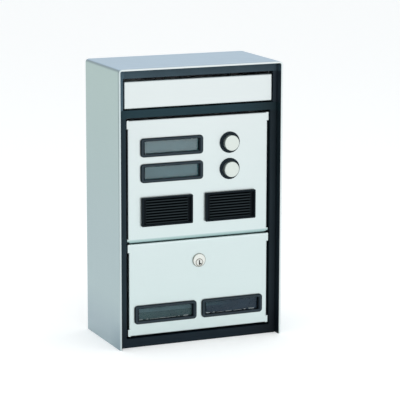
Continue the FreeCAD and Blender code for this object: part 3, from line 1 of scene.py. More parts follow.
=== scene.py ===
"""Looks of the door intercom with letterbox: finishes, small visible details, floor, light and camera."""
import math

import bmesh
import bpy
from mathutils import Matrix, Vector


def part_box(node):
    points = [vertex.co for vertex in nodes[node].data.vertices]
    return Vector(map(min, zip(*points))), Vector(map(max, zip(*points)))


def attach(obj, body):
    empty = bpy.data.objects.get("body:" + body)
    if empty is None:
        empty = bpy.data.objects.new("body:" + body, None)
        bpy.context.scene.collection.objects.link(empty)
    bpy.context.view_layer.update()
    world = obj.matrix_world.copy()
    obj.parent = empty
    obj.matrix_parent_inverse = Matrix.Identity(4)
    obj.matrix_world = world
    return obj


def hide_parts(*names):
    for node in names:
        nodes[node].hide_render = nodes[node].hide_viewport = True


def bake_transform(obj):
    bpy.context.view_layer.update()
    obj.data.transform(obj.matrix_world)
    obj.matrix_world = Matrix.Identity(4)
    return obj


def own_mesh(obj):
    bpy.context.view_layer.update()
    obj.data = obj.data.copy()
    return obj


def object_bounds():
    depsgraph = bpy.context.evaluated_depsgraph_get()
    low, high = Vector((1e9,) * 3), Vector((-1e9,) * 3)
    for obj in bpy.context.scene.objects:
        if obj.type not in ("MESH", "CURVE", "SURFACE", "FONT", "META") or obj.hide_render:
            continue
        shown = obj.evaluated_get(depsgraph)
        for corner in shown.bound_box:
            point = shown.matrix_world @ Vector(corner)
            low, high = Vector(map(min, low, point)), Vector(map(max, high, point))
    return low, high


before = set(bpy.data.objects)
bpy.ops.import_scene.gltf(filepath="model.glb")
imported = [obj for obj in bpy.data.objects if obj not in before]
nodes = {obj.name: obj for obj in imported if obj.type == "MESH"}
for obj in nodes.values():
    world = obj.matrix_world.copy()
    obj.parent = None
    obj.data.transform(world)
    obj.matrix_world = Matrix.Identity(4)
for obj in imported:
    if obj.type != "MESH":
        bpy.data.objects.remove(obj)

cad_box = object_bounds()
MM = 0.001


# ---- node material helper ----
NOISE_ROUGHNESS = 0.55
NOISE_RANGE = (0.3, 0.7)
EDGE_RANGE = (0.01, 0.22)  # how far a rounded normal leans from the flat one, from face to edge
BEVEL_SAMPLES = 6
SIDES = {  # of a node's box: the axis, the corner that it goes through, and the way in
    "left": (0, 0, 1),
    "right": (0, 1, -1),
    "front": (1, 0, 1),
    "bottom": (2, 0, 1),
    "top": (2, 1, -1),
}


class Finish:
    """A procedural material, with methods that add its nodes; most of them return an output socket."""

    def __init__(self, name):
        self.material = bpy.data.materials.new(name)
        self.material.use_nodes = True
        self.tree = self.material.node_tree
        self.tree.nodes.clear()
        output = self.add("ShaderNodeOutputMaterial")
        self.shader = self.add("ShaderNodeBsdfPrincipled")
        self.link(self.shader.outputs["BSDF"], output.inputs["Surface"])
        self.place = self.add("ShaderNodeTexCoord").outputs["Object"]
        self.geometry = self.add("ShaderNodeNewGeometry")
        self.smooth_normal = None

    def add(self, kind, **settings):
        """Adds a node with these settings."""
        node = self.tree.nodes.new(kind)
        for key, value in settings.items():
            setattr(node, key, value)
        return node

    def link(self, source, target):
        self.tree.links.new(source, target)

    def value(self, socket, value):
        """Puts a socket's link or a plain number into an input."""
        target = self.shader.inputs[socket]
        if isinstance(value, bpy.types.NodeSocket):
            self.link(value, target)
        else:
            target.default_value = value

    def math(self, operation, a, b=0.0):
        """Each operand is an output socket or a plain number."""
        node = self.add("ShaderNodeMath", operation=operation)
        for number, item in enumerate((a, b)):
            if isinstance(item, bpy.types.NodeSocket):
                self.link(item, node.inputs[number])
            else:
                node.inputs[number].default_value = item
        return node.outputs[0]

    def stretched(self, scale, offset=(0, 0, 0)):
        """The place on the object, scaled and then shifted."""
        node = self.add("ShaderNodeMapping")
        node.inputs["Scale"].default_value = scale
        node.inputs["Location"].default_value = offset
        self.link(self.place, node.inputs["Vector"])
        return node.outputs[0]

    def noise(self, scale, detail=3.0, stretch=(1, 1, 1)):
        """Cloudy noise; a larger stretch along an axis packs it closer there."""
        node = self.add("ShaderNodeTexNoise")
        node.inputs["Scale"].default_value = scale
        node.inputs["Detail"].default_value = detail
        node.inputs["Roughness"].default_value = NOISE_ROUGHNESS
        self.link(self.stretched(stretch), node.inputs["Vector"])
        return node.outputs["Fac"]

    def cells(self, scale, feature="F1"):
        """The outputs of a cell pattern: each cell's colour, and the distance to its point or border."""
        node = self.add("ShaderNodeTexVoronoi", feature=feature)
        node.inputs["Scale"].default_value = scale
        self.link(self.place, node.inputs["Vector"])
        return node.outputs

    def spread(self, value, low, high, to_low=0.0, to_high=1.0):
        """Maps low..high to to_low..to_high, held at both ends."""
        node = self.add("ShaderNodeMapRange")
        self.link(value, node.inputs["Value"])
        for key, number in (("From Min", low), ("From Max", high), ("To Min", to_low), ("To Max", to_high)):
            node.inputs[key].default_value = number
        return node.outputs["Result"]

    def vary(self, noise, to_low=0.0, to_high=1.0):
        """Maps the range that a noise mostly keeps to, to to_low..to_high."""
        return self.spread(noise, *NOISE_RANGE, to_low, to_high)

    def axis(self, which):
        """The place along axis 0, 1 or 2, in metres."""
        node = self.add("ShaderNodeSeparateXYZ")
        self.link(self.place, node.inputs[0])
        return node.outputs[which]

    def mix(self, share, first, second):
        """The first colour at share 0, the second at 1."""
        node = self.add("ShaderNodeMix", data_type="RGBA")
        for key, item in ((0, share), (6, first), (7, second)):
            if isinstance(item, bpy.types.NodeSocket):
                self.link(item, node.inputs[key])
            else:
                node.inputs[key].default_value = item if key == 0 else (*item[:3], 1.0)
        return node.outputs[2]

    def tint(self, colour, mask, factor):
        """Multiplies a colour by a factor colour where the mask is 1."""
        node = self.add("ShaderNodeMix", data_type="RGBA", blend_type="MULTIPLY")
        self.link(mask, node.inputs[0])
        self.link(colour, node.inputs[6])
        node.inputs[7].default_value = (*factor, 1.0)
        return node.outputs[2]

    def from_side(self, node, side, start, full):
        """0 at start millimetres in from a side of a node's box, and 1 at full, farther in or nearer."""
        which, corner, inward = SIDES[side]
        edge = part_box(node)[corner][which]
        return self.spread(self.axis(which), edge + inward * start * MM, edge + inward * full * MM)

    def both(self, first, second):
        """1 where both masks are 1."""
        return self.math("MULTIPLY", first, second)

    def rounded_normal(self, radius):
        """The normal with every sharp edge rounded a little, which catches the light as a real edge does."""
        node = self.add("ShaderNodeBevel", samples=BEVEL_SAMPLES)
        node.inputs["Radius"].default_value = radius
        self.smooth_normal = node.outputs[0]
        return self.smooth_normal

    def edges(self, radius):
        """1 on edges and corners, 0 on flat faces."""
        self.rounded_normal(radius)
        dot = self.add("ShaderNodeVectorMath", operation="DOT_PRODUCT")
        self.link(self.smooth_normal, dot.inputs[0])
        self.link(self.geometry.outputs["Normal"], dot.inputs[1])
        return self.spread(self.math("SUBTRACT", 1.0, dot.outputs["Value"]), *EDGE_RANGE)

    def bump(self, height, distance, strength):
        """Adds relief to the shader's normal, on top of any rounding or relief so far."""
        node = self.add("ShaderNodeBump")
        node.inputs["Distance"].default_value = distance
        node.inputs["Strength"].default_value = strength
        self.link(height, node.inputs["Height"])
        if self.smooth_normal is not None:
            self.link(self.smooth_normal, node.inputs["Normal"])
        self.smooth_normal = node.outputs[0]
        self.value("Normal", self.smooth_normal)


# ---- kinds of finish, where their tones change, and where light and shade are painted ----
PLAIN_GLOSS = (1.0, 1.0, 1.0)
COOL_GLOSS = (0.68, 0.88, 1.0)
RIDGE_START = (0.9 * MM, 1.6 * MM)  # in from a bezel's outline
RIDGE_END = (4.6 * MM, 3.8 * MM)
# painted shade in recesses: bezel walls and grille pockets
PAINTED_SUNK_SHADE = (0.3, 0.3, 0.3)
LOCK_RIM = (8.9 * MM, 9.7 * MM)  # out from the lock's middle
PLUG_RING = (4.3 * MM, 5.0 * MM)
RING_WOBBLE = 5.0
CLOUD_SHADE = 0.72  # how dark a moulding's clouds are, as a share of its base colour
TURNED_EDGE = 1.06  # how bright the edges are (wear and painted highlight), in the same way
# plated edges are brightened for wear and painted highlight
PLATED_EDGE = 1.15
STRIP_TILT = 0.009  # the lighter band's edge drops a little toward the right


def anodised(name, base, deep, edge, roughness, zones=None):
    """Satin anodised aluminium sheet: cloudy tone, faint rolling lines, etched grain, and edges brightened
    for wear and painted highlight.
    """
    f = Finish(name)
    worn_and_lit_edges = f.edges(0.5 * MM)
    cloud = f.noise(9.0, 4.0)
    rolled = f.noise(1.0, 4.0, (60.0, 60.0, 2600.0))
    grain = f.noise(5200.0, 2.0)
    tone = f.math("ADD", f.vary(cloud, 0.0, 0.55), f.spread(rolled, 0.25, 0.75, 0.0, 0.45))
    colour = f.mix(tone, deep, base)
    # edges brightened partly for wear and partly as painted highlight
    scuffed_and_lit = f.both(worn_and_lit_edges, f.spread(f.noise(160.0, 4.0), 0.35, 0.65, 0.25, 0.9))
    colour = f.mix(scuffed_and_lit, colour, edge)
    if zones is not None:
        colour = zones(f, colour)
    f.value("Base Color", colour)
    f.value("Metallic", 1.0)
    f.value("Roughness", f.math("ADD", f.vary(cloud, roughness - 0.03, roughness + 0.03),
                                f.vary(grain, -0.03, 0.03)))
    f.bump(rolled, 0.004 * MM, 0.5)
    f.bump(grain, 0.006 * MM, 0.6)
    return f.material


def hood_painted_light(f, colour):
    """Painted light and shade on the folded hood: lighter upper left side, bluer and lighter top as painted
    reflection, painted shade on the fold lines, the creases behind the cut edge, the foot and the front tip.
    """
    left = f.from_side("hood", "left", 1.0, 0.4)
    top = f.from_side("hood", "top", 1.4, 0.6)
    crease = f.both(f.from_side("hood", "front", 4.2, 2.6), f.from_side("hood", "front", 0.4, 0.9))
    tip = f.both(f.from_side("hood", "bottom", 45.0, 5.0), f.from_side("hood", "front", 45.0, 5.0))
    corner = f.both(f.from_side("hood", "top", 4.5, 2.5), f.from_side("hood", "left", 4.0, 2.5))
    cut = f.from_side("hood", "front", 0.35, 0.15)
    # painted light on the upper left side, painted shade toward its foot and at the front tip
    colour = f.tint(colour, f.both(left, f.from_side("hood", "bottom", 150.0, 400.0)), (1.10, 1.11, 1.04))
    colour = f.tint(colour, f.both(left, f.from_side("hood", "bottom", 75.0, 25.0)), (0.90, 0.90, 0.94))
    colour = f.tint(colour, f.both(left, tip), (0.72, 0.76, 0.80))
    # painted reflection: a bluer, lighter top
    colour = f.tint(colour, top, (1.13, 1.16, 1.33))
    # painted shade in the top's crease, the left side's crease and the top-left fold
    colour = f.tint(colour, f.both(top, crease), (0.84, 0.84, 0.80))
    upper_crease = f.both(f.both(left, crease), f.from_side("hood", "bottom", 60.0, 300.0))
    colour = f.tint(colour, upper_crease, (0.55, 0.60, 0.62))
    colour = f.tint(colour, f.both(corner, f.from_side("hood", "top", 0.4, 1.2)), (0.72, 0.74, 0.78))
    # the cut edge's raw-metal tone, darker on the left sheet as painted shade
    bright = f.mix(f.from_side("hood", "left", 6.0, 1.5), (0.66, 0.72, 0.72), (0.52, 0.60, 0.61))
    return f.mix(cut, colour, bright)


def panel_painted_light(f, colour):
    """Painted light and shade on the panel: more neutral toward the top, and painted shade on the lower fold
    and its underside, which turn away from the light.
    """
    colour = f.tint(colour, f.from_side("intercom_panel", "bottom", 3.0, 173.0), (0.985, 0.945, 0.95))
    colour = f.tint(colour, f.from_side("intercom_panel", "bottom", 6.0, 4.4), (0.67, 0.78, 0.77))
    return f.tint(colour, f.from_side("intercom_panel", "bottom", 4.6, 1.0), (0.70, 0.76, 0.77))


def door_painted_light(f, colour):
    """Painted highlight on the door's upper fold, and painted light on its foot as if picked up from the
    ground.
    """
    colour = f.tint(colour, f.from_side("door", "bottom", 113.0, 23.0), (1.04, 1.05, 1.045))
    return f.tint(colour, f.from_side("door", "top", 3.6, 2.4), (1.07, 1.07, 1.07))


def moulded(name, base, rubbed_and_lit_tone, roughness, specular, texture=3800.0, deep=0.03, zones=None,
            gloss=PLAIN_GLOSS):
    """Injection-moulded plastic with an eroded texture, uneven sheen, and edges made slightly lighter for
    wear and painted highlight.
    """
    f = Finish(name)
    worn_and_lit_edges = f.edges(0.4 * MM)
    cloud = f.noise(22.0, 4.0)
    speck = f.noise(texture, 3.0)
    shade = f.mix(f.vary(cloud, 0.0, 0.6), base, [CLOUD_SHADE * c for c in base])
    # edges lightened partly for wear and partly as painted highlight
    lines = f.both(worn_and_lit_edges, f.spread(f.noise(220.0, 3.0), 0.3, 0.6, 0.45, 1.0))
    colour = f.mix(lines, shade, rubbed_and_lit_tone)
    if zones is not None:
        colour = zones(f, colour)
    f.value("Base Color", colour)
    f.value("Roughness", f.math("ADD", f.vary(cloud, roughness - 0.05, roughness + 0.05),
                                f.vary(speck, -0.04, 0.04)))
    f.value("Specular IOR Level", specular)
    f.value("Specular Tint", (*gloss, 1.0))
    f.bump(speck, deep * MM, 0.6)
    return f.material


def frame_painted_light(f, colour):
    """Painted light and shade on the lower moulding: lighter on its cross rail, painted shade along its
    bottom rail and its right stile.
    """
    colour = f.tint(colour, f.from_side("door_frame", "top", 13.5, 10.5), (1.04, 1.36, 1.30))
    colour = f.tint(colour, f.from_side("door_frame", "bottom", 60.0, 16.0), (0.40, 0.47, 0.54))
    return f.tint(colour, f.from_side("door_frame", "right", 67.3, 11.3), (0.62, 0.56, 0.55))


def slot_painted_light(f, colour):
    """Painted light and shade on the upper moulding: lighter toward the left, painted shade on its right
    stile.
    """
    colour = f.tint(colour, f.from_side("slot_frame", "left", 147.3, 17.3), (1.22, 1.24, 1.24))
    colour = f.tint(colour, f.from_side("slot_frame", "left", 9.8, 8.7), (1.5, 1.5, 1.5))
    stile = f.both(f.from_side("slot_frame", "right", 10.3, 8.3),
                   f.from_side("slot_frame", "top", 10.7, 13.2))
    return f.tint(colour, stile, (0.38, 0.37, 0.40))


def bezel_painted_light(node):
    """Painted light and shade on a name plate's frame: a painted highlight along the middle of its face,
    painted shade on the walls toward the pane.
    """
    low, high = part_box(node)
    middle, half = (low + high) / 2, (high - low) / 2

    def zones(f, colour):
        depths = []
        for which in (0, 2):
            offset = f.math("ABSOLUTE", f.math("SUBTRACT", f.axis(which), middle[which]))
            depths.append(f.math("SUBTRACT", half[which], offset))
        inward = f.math("MINIMUM", *depths)
        ridge = f.both(f.spread(inward, *RIDGE_START), f.spread(inward, *RIDGE_END))
        face = f.from_side(node, "front", 0.9, 0.5)
        # painted highlight on the ridge, then painted shade on the walls toward the pane
        colour = f.mix(f.both(ridge, face), colour, (0.026, 0.037, 0.045))
        return f.tint(colour, f.from_side(node, "front", 1.2, 2.0), PAINTED_SUNK_SHADE)

    return zones


def grille_painted_light(f, colour):
    """Painted light and shade: the blades' front faces painted lighter than the rim, and painted shade in the
    pocket round them.
    """
    grille = "speaker_grille"  # the other one is as deep
    blades = f.both(f.from_side(grille, "front", 3.3, 3.5), f.from_side(grille, "front", 3.9, 3.7))
    # painted shade in the pocket; the blades' faces painted lighter
    colour = f.tint(colour, f.from_side(grille, "front", 1.0, 2.0), PAINTED_SUNK_SHADE)
    return f.mix(blades, colour, (0.021, 0.029, 0.032))


def turned_metal(name, base, deep, centre, roughness, ring_pitch=0.35, zones=None):
    """Metal with a lathe-turned front: fine rings round its own middle, on a satin ground."""
    f = Finish(name)
    worn_and_lit_edges = f.edges(0.3 * MM)
    shifted = f.stretched((1, 0, 1), (-centre.x, 0, -centre.z))
    reach = f.add("ShaderNodeVectorMath", operation="LENGTH")
    f.link(shifted, reach.inputs[0])
    distance = reach.outputs["Value"]
    wobble = f.noise(900.0, 2.0)
    phase = f.math("ADD", f.math("MULTIPLY", distance, 2 * math.pi / (ring_pitch * MM)),
                   f.math("MULTIPLY", wobble, RING_WOBBLE))
    rings = f.spread(f.math("SINE", phase), -1.0, 1.0)
    cloud = f.noise(140.0, 4.0)
    tone = f.math("ADD", f.math("MULTIPLY", rings, 0.35), f.vary(cloud, 0.0, 0.65))
    # edges brightened for wear and painted highlight
    colour = f.mix(worn_and_lit_edges, f.mix(tone, deep, base), [min(1.0, TURNED_EDGE * c) for c in base])
    if zones is not None:
        colour = zones(f, colour, distance)
    f.value("Base Color", colour)
    f.value("Metallic", 1.0)
    f.value("Roughness", f.math("ADD", f.math("MULTIPLY", rings, 0.05),
                                f.vary(cloud, roughness - 0.04, roughness + 0.04)))
    f.bump(rings, 0.004 * MM, 0.5)
    return f.material


def lock_rim_painted_shade(f, colour, distance):
    """The lock face's rounded rim is darker than its flat: painted shade."""
    return f.tint(colour, f.spread(distance, *LOCK_RIM), (0.42, 0.44, 0.42))


def plug_painted_shade(f, colour, distance):
    """Painted shade in the groove round the plug, and in a keyway that darkens with depth."""
    colour = f.tint(colour, f.spread(distance, *PLUG_RING), (0.40, 0.38, 0.35))
    return f.tint(colour, f.from_side("lock_plug", "front", 0.15, 0.9), (0.04, 0.045, 0.05))


def plated(name, base, tint, roughness):
    """Zinc-plated or nickel-plated steel: slight colour drift in the plating, small pits, and edges
    brightened for wear and painted highlight.
    """
    f = Finish(name)
    worn_and_lit_edges = f.edges(0.25 * MM)
    drift = f.noise(70.0, 4.0)
    pits = f.noise(1800.0, 3.0)
    colour = f.mix(f.spread(drift, 0.35, 0.65), base, tint)
    f.value("Base Color", f.mix(worn_and_lit_edges, colour, [min(1.0, PLATED_EDGE * c) for c in base]))
    f.value("Metallic", 1.0)
    f.value("Roughness", f.math("ADD", f.vary(drift, roughness - 0.05, roughness + 0.05),
                                f.vary(pits, -0.05, 0.05)))
    f.bump(pits, 0.01 * MM, 0.5)
    return f.material


def galvanised(name):
    """Hot-dip galvanised sheet with its crystal spangle."""
    f = Finish(name)
    worn_and_lit_edges = f.edges(0.3 * MM)
    crystal = f.cells(110.0)
    spangle = f.add("ShaderNodeSeparateColor")
    f.link(crystal["Color"], spangle.inputs[0])
    grey = f.math("ADD", f.math("MULTIPLY", spangle.outputs[0], 0.6), f.vary(f.noise(300.0), 0.0, 0.4))
    # edges brightened for wear and painted highlight
    f.value("Base Color", f.mix(worn_and_lit_edges, f.mix(grey, (0.42, 0.44, 0.46), (0.62, 0.64, 0.66)), (0.7, 0.71, 0.72)))
    f.value("Metallic", 0.95)
    f.value("Roughness", f.spread(spangle.outputs[1], 0.0, 1.0, 0.34, 0.56))
    f.bump(crystal["Distance"], 0.02 * MM, 0.35)
    return f.material


def rubber(name):
    """Moulded rubber: matt, with a dusty bloom in the low spots."""
    f = Finish(name)
    worn_and_lit_edges = f.edges(0.4 * MM)
    bloom = f.noise(45.0, 5.0)
    fine = f.noise(2600.0, 2.0)
    shade = f.mix(f.spread(bloom, 0.4, 0.75), (0.012, 0.012, 0.013), (0.035, 0.035, 0.034))
    # edges lightened for wear and painted highlight
    f.value("Base Color", f.mix(f.math("MULTIPLY", worn_and_lit_edges, 0.5), shade, (0.05, 0.05, 0.05)))
    f.value("Roughness", f.vary(fine, 0.72, 0.88))
    f.value("Specular IOR Level", 0.3)
    f.bump(fine, 0.02 * MM, 0.6)
    return f.material


def nylon(name):
    """Natural nylon: milky, slightly waxy."""
    f = Finish(name)
    f.rounded_normal(0.3 * MM)
    cloud = f.noise(120.0, 4.0)
    f.value("Base Color", f.mix(f.vary(cloud), (0.74, 0.73, 0.68), (0.84, 0.83, 0.79)))
    f.value("Roughness", f.vary(cloud, 0.32, 0.45))
    f.value("Subsurface Weight", 0.25)
    f.value("Subsurface Scale", 0.002)
    f.bump(f.noise(1500.0, 3.0), 0.01 * MM, 0.4)
    return f.material


def machined_brass(name):
    """Machined brass: tarnish in clouds, tool marks along its length, and edges brightened for wear and
    painted highlight.
    """
    f = Finish(name)
    worn_and_lit_edges = f.edges(0.25 * MM)
    tarnish = f.noise(260.0, 5.0)
    marks = f.noise(1.0, 3.0, (400.0, 4200.0, 400.0))
    colour = f.mix(f.spread(tarnish, 0.35, 0.7), (0.78, 0.6, 0.27), (0.5, 0.36, 0.17))
    f.value("Base Color", f.mix(worn_and_lit_edges, colour, (0.9, 0.76, 0.42)))
    f.value("Metallic", 1.0)
    f.value("Roughness", f.spread(marks, 0.25, 0.75, 0.22, 0.42))
    f.bump(marks, 0.008 * MM, 0.5)
    return f.material


def solder_mask(name):
    """Circuit board: copper runs under green lacquer, tinned pads between them."""
    f = Finish(name)
    f.rounded_normal(0.2 * MM)
    copper = f.spread(f.cells(150.0, "DISTANCE_TO_EDGE")["Distance"], 0.10, 0.06)
    pads = f.spread(f.cells(260.0)["Distance"], 0.17, 0.13)
    mottled = f.mix(f.vary(f.noise(60.0)), (0.012, 0.10, 0.045), (0.02, 0.14, 0.06))
    green = f.mix(copper, mottled, (0.05, 0.24, 0.10))
    f.value("Base Color", f.mix(pads, green, (0.62, 0.62, 0.58)))
    f.value("Metallic", f.math("MULTIPLY", pads, 0.9))
    f.value("Roughness", f.spread(pads, 0.0, 1.0, 0.22, 0.38))
    f.bump(copper, 0.03 * MM, 0.6)
    return f.material


def paper_cone(name):
    """Loudspeaker and microphone parts: black lacquered pulp with fibres."""
    f = Finish(name)
    f.rounded_normal(0.3 * MM)
    fibre = f.noise(1.0, 4.0, (900.0, 900.0, 2600.0))
    f.value("Base Color", f.mix(f.spread(fibre, 0.35, 0.65), (0.012, 0.012, 0.012), (0.045, 0.043, 0.04)))
    f.value("Roughness", f.vary(fibre, 0.55, 0.8))
    f.bump(fibre, 0.03 * MM, 0.5)
    return f.material


def card_stock(name, light, dark):
    """Plain tinted card with paper fibres; it carries no lettering."""
    f = Finish(name)
    fibre = f.noise(1.0, 5.0, (1800.0, 600.0, 2400.0))
    cloud = f.noise(35.0, 3.0)
    tone = f.math("ADD", f.vary(fibre, 0.0, 0.4), f.vary(cloud, 0.0, 0.6))
    f.value("Base Color", f.mix(tone, dark, light))
    f.value("Roughness", f.vary(fibre, 0.62, 0.78))
    f.value("Specular IOR Level", 0.25)
    f.bump(fibre, 0.01 * MM, 0.4)
    return f.material


def clear_pane(name, gloss=PLAIN_GLOSS):
    """Clear acrylic with faint wiping scratches; a darker gloss colour means a weaker mirror image."""
    f = Finish(name)
    scratch = f.noise(1.0, 4.0, (300.0, 300.0, 5200.0))
    f.value("Base Color", (0.86, 0.91, 0.92, 1.0))
    f.value("Roughness", f.spread(scratch, 0.45, 0.8, 0.03, 0.16))
    f.value("IOR", 1.49)
    f.value("Specular Tint", (*gloss, 1.0))
    f.value("Transmission Weight", 1.0)
    return f.material


def tinted_strip(name, window, light, dark, border, fade=None):
    """A blank strip behind a lower pane: dark card with a lighter band of painted light above the border,
    edged by a painted shade line, which may fade out.

    The border is in millimetres from the pane's lower edge, the fade's start and end from its left edge.
    """
    f = Finish(name)
    fibre = f.noise(1.0, 4.0, (500.0, 500.0, 3000.0))
    cloud = f.noise(60.0, 3.0)
    slope = f.math("ADD", f.axis(2), f.math("MULTIPLY", f.axis(0), STRIP_TILT))
    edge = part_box(window)[0].z + border * MM
    # painted light: the lighter band above the border
    upper = f.spread(slope, edge - 0.25 * MM, edge + 0.25 * MM)
    # a fade keeps the painted light to the left part, as if shadow covered the rest
    if fade is not None:
        upper = f.both(upper, f.from_side(window, "left", *fade))
    # painted shade line just below the band's edge
    line = f.both(f.spread(slope, edge + 0.1 * MM, edge - 0.3 * MM),
                  f.spread(slope, edge - 1.1 * MM, edge - 0.6 * MM))
    colour = f.mix(upper, dark, light)
    colour = f.tint(colour, f.math("MULTIPLY", line, 0.6), (0.55, 0.6, 0.6))
    colour = f.tint(colour, f.spread(cloud, 0.35, 0.7), (0.86, 0.87, 0.87))
    f.value("Base Color", colour)
    f.value("Roughness", f.vary(fibre, 0.5, 0.68))
    f.value("Specular IOR Level", 0.2)
    f.bump(fibre, 0.005 * MM, 0.25)
    return f.material


def paper_edge(name):
    """Torn white paper."""
    f = Finish(name)
    fibre = f.noise(3000.0, 3.0)
    f.value("Base Color", f.mix(f.vary(fibre), (0.86, 0.90, 0.91), (0.95, 0.97, 0.97)))
    f.value("Roughness", f.vary(fibre, 0.55, 0.75))
    f.bump(fibre, 0.02 * MM, 0.5)
    return f.material


# ---- finishes for the carried-over parts ----
def box_middle(node):
    low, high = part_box(node)
    return (low + high) / 2


MOULDED_BLACK = (0.006, 0.011, 0.016)
PANEL_METAL = (0.61, 0.695, 0.692)
PANEL_DEEP = (0.58, 0.67, 0.667)
PANEL_EDGE = (0.76, 0.83, 0.83)
FLAP_PAINTED_TINT = Vector((1.0, 0.95, 0.955))  # painted light: the flap's copy of the panel colours is tinted, as it sits highest, in the most neutral light
finishes = {
    "hood_aluminium": anodised("hood_sheet", (0.445, 0.54, 0.555), (0.395, 0.495, 0.51), (0.66, 0.72, 0.72),
                               0.46, hood_painted_light),
    "panel_aluminium": anodised("panel_sheet", PANEL_METAL, PANEL_DEEP, PANEL_EDGE, 0.36),
    "frame_plastic": moulded("anthracite_moulding", (0.012, 0.022, 0.032), (0.035, 0.045, 0.055), 0.5, 0.15),
    "black_plastic": moulded("black_moulding", MOULDED_BLACK, (0.045, 0.064, 0.078), 0.4, 0.18,
                             gloss=COOL_GLOSS),
    "black_steel": plated("black_oxide", (0.030, 0.032, 0.035), (0.045, 0.042, 0.038), 0.42),
    "zinc_steel": plated("zinc_plating", (0.62, 0.64, 0.66), (0.66, 0.64, 0.58), 0.32),
    "zinc_sheet": galvanised("spangled_sheet"),
    "board_green": solder_mask("circuit_board_lacquer"),
    "terminal_grey": moulded("terminal_housing", (0.16, 0.18, 0.19), (0.3, 0.32, 0.33), 0.45, 0.5),
    "brass_parts": machined_brass("machined_brass"),
    "speaker_black": paper_cone("speaker_pulp"),
    "dark_rubber": rubber("dark_rubber_bloom"),
    "grey_cover": moulded("grey_abs", (0.1, 0.115, 0.13), (0.2, 0.22, 0.24), 0.55, 0.45, 2400.0, 0.05),
    "white_nylon": nylon("natural_nylon"),
    "name_card": card_stock("tinted_card", (0.125, 0.262, 0.298), (0.108, 0.235, 0.27)),
    "clear_window": clear_pane("clear_acrylic"),
    "lock_metal": turned_metal("lock_chrome", (0.74, 0.76, 0.72), (0.62, 0.64, 0.61), box_middle("lock_body"),
                               0.2, 0.5, lock_rim_painted_shade),
}
grille_black = moulded("grille_moulding", (0.004, 0.007, 0.010), (0.020, 0.030, 0.038), 0.42, 0.11,
                       zones=grille_painted_light, gloss=COOL_GLOSS)
by_node = {
    "letter_flap": anodised("flap_sheet", FLAP_PAINTED_TINT * Vector(PANEL_METAL), FLAP_PAINTED_TINT * Vector(PANEL_DEEP),
                            FLAP_PAINTED_TINT * Vector(PANEL_EDGE), 0.36),
    "door": anodised("door_sheet", PANEL_METAL, PANEL_DEEP, PANEL_EDGE, 0.36, door_painted_light),
    "intercom_panel": anodised("intercom_panel_sheet", PANEL_METAL, PANEL_DEEP, PANEL_EDGE, 0.36,
                               panel_painted_light),
    # painted light: the upper moulding's base is a lighter copy of the lower one's, as it sits higher in the
    # light
    "slot_frame": moulded("slot_frame_moulding", (0.036, 0.062, 0.080), (0.055, 0.078, 0.096), 0.5, 0.15,
                          zones=slot_painted_light),
    "door_frame": moulded("door_frame_moulding", (0.013, 0.028, 0.038), (0.035, 0.050, 0.062), 0.5, 0.12,
                          zones=frame_painted_light),
    "speaker_grille": grille_black,
    "microphone_grille": grille_black,
    "lock_plug": turned_metal("plug_chrome", (0.74, 0.755, 0.72), (0.61, 0.63, 0.60), box_middle("lock_plug"),
                              0.2, 0.4, plug_painted_shade),
}
for number in (1, 2, 3, 4):
    bezel = "name_bezel_%d" % number
    by_node[bezel] = moulded("bezel_moulding_%d" % number, MOULDED_BLACK, (0.012, 0.018, 0.023), 0.4, 0.14,
                             zones=bezel_painted_light(bezel), gloss=COOL_GLOSS)
by_node["name_window_3"] = by_node["name_window_4"] = clear_pane("dull_acrylic", (0.25, 0.32, 0.40))
for number in (1, 2):
    cap = "button_cap_%d" % number
    by_node[cap] = turned_metal("button_face_%d" % number, (0.60, 0.65, 0.615), (0.555, 0.61, 0.58),
                                box_middle(cap), 0.34)
for node_name, node in nodes.items():
    for material_slot in node.material_slots:
        slot_name = material_slot.material.name.split(".")[0]
        material_slot.material = by_node[node_name] if node_name in by_node else finishes[slot_name]


# ---- blank strips behind the lower panes ----
STRIP_TRIM = Vector((0.3, 0, 0.3)) * MM  # how much smaller a strip is than its pane, at each side
STRIP_BEHIND = 0.3 * MM
STRIP_THICK = 0.25 * MM
STRIP_BOW = 0.3 * MM
STRIP_COLUMNS, STRIP_ROWS = 24, 6
TORN_FOOT = 1.2  # millimetres above the pane's lower edge, as the rest of the torn edges' sizes
TORN_STEP = 1.5
TORN_RAGGED = 0.06  # how much the height varies, as a share of it
TORN_TAPER = 0.8  # the height at both ends of a sliver, in the same way
TORN_NEAR, TORN_FAR = 0.06, 0.22  # behind the pane
TORN_LEFT = ((2.2, 7, 1.1), (15.2, 3, 0.9), (20.2, 15, 0.45), (36.2, 10, 0.7), (47.2, 15, 0.4),
             (66.2, 2.5, 0.9), (74.2, 8, 1.1))
TORN_RIGHT = ((2.6, 7, 1.1), (14.6, 4, 1.0), (20.6, 12, 0.4), (35.6, 10, 0.7), (48.6, 14, 0.45),
              (65.6, 3, 1.0), (73.6, 9, 1.1))


def bowed_grid(form, middle, half, front):
    """Rows of corners over a window: deepest in the middle, half as deep halfway along the long edges."""
    grid = []
    for row in range(STRIP_ROWS + 1):
        up = 2 * row / STRIP_ROWS - 1
        line = []
        for column in range(STRIP_COLUMNS + 1):
            along = 2 * column / STRIP_COLUMNS - 1
            deep = STRIP_BOW * (1 - along * along) * (1 - 0.5 * up * up)
            line.append(form.verts.new((middle.x + along * half.x, front + deep, middle.z + up * half.z)))
        grid.append(line)
    return grid


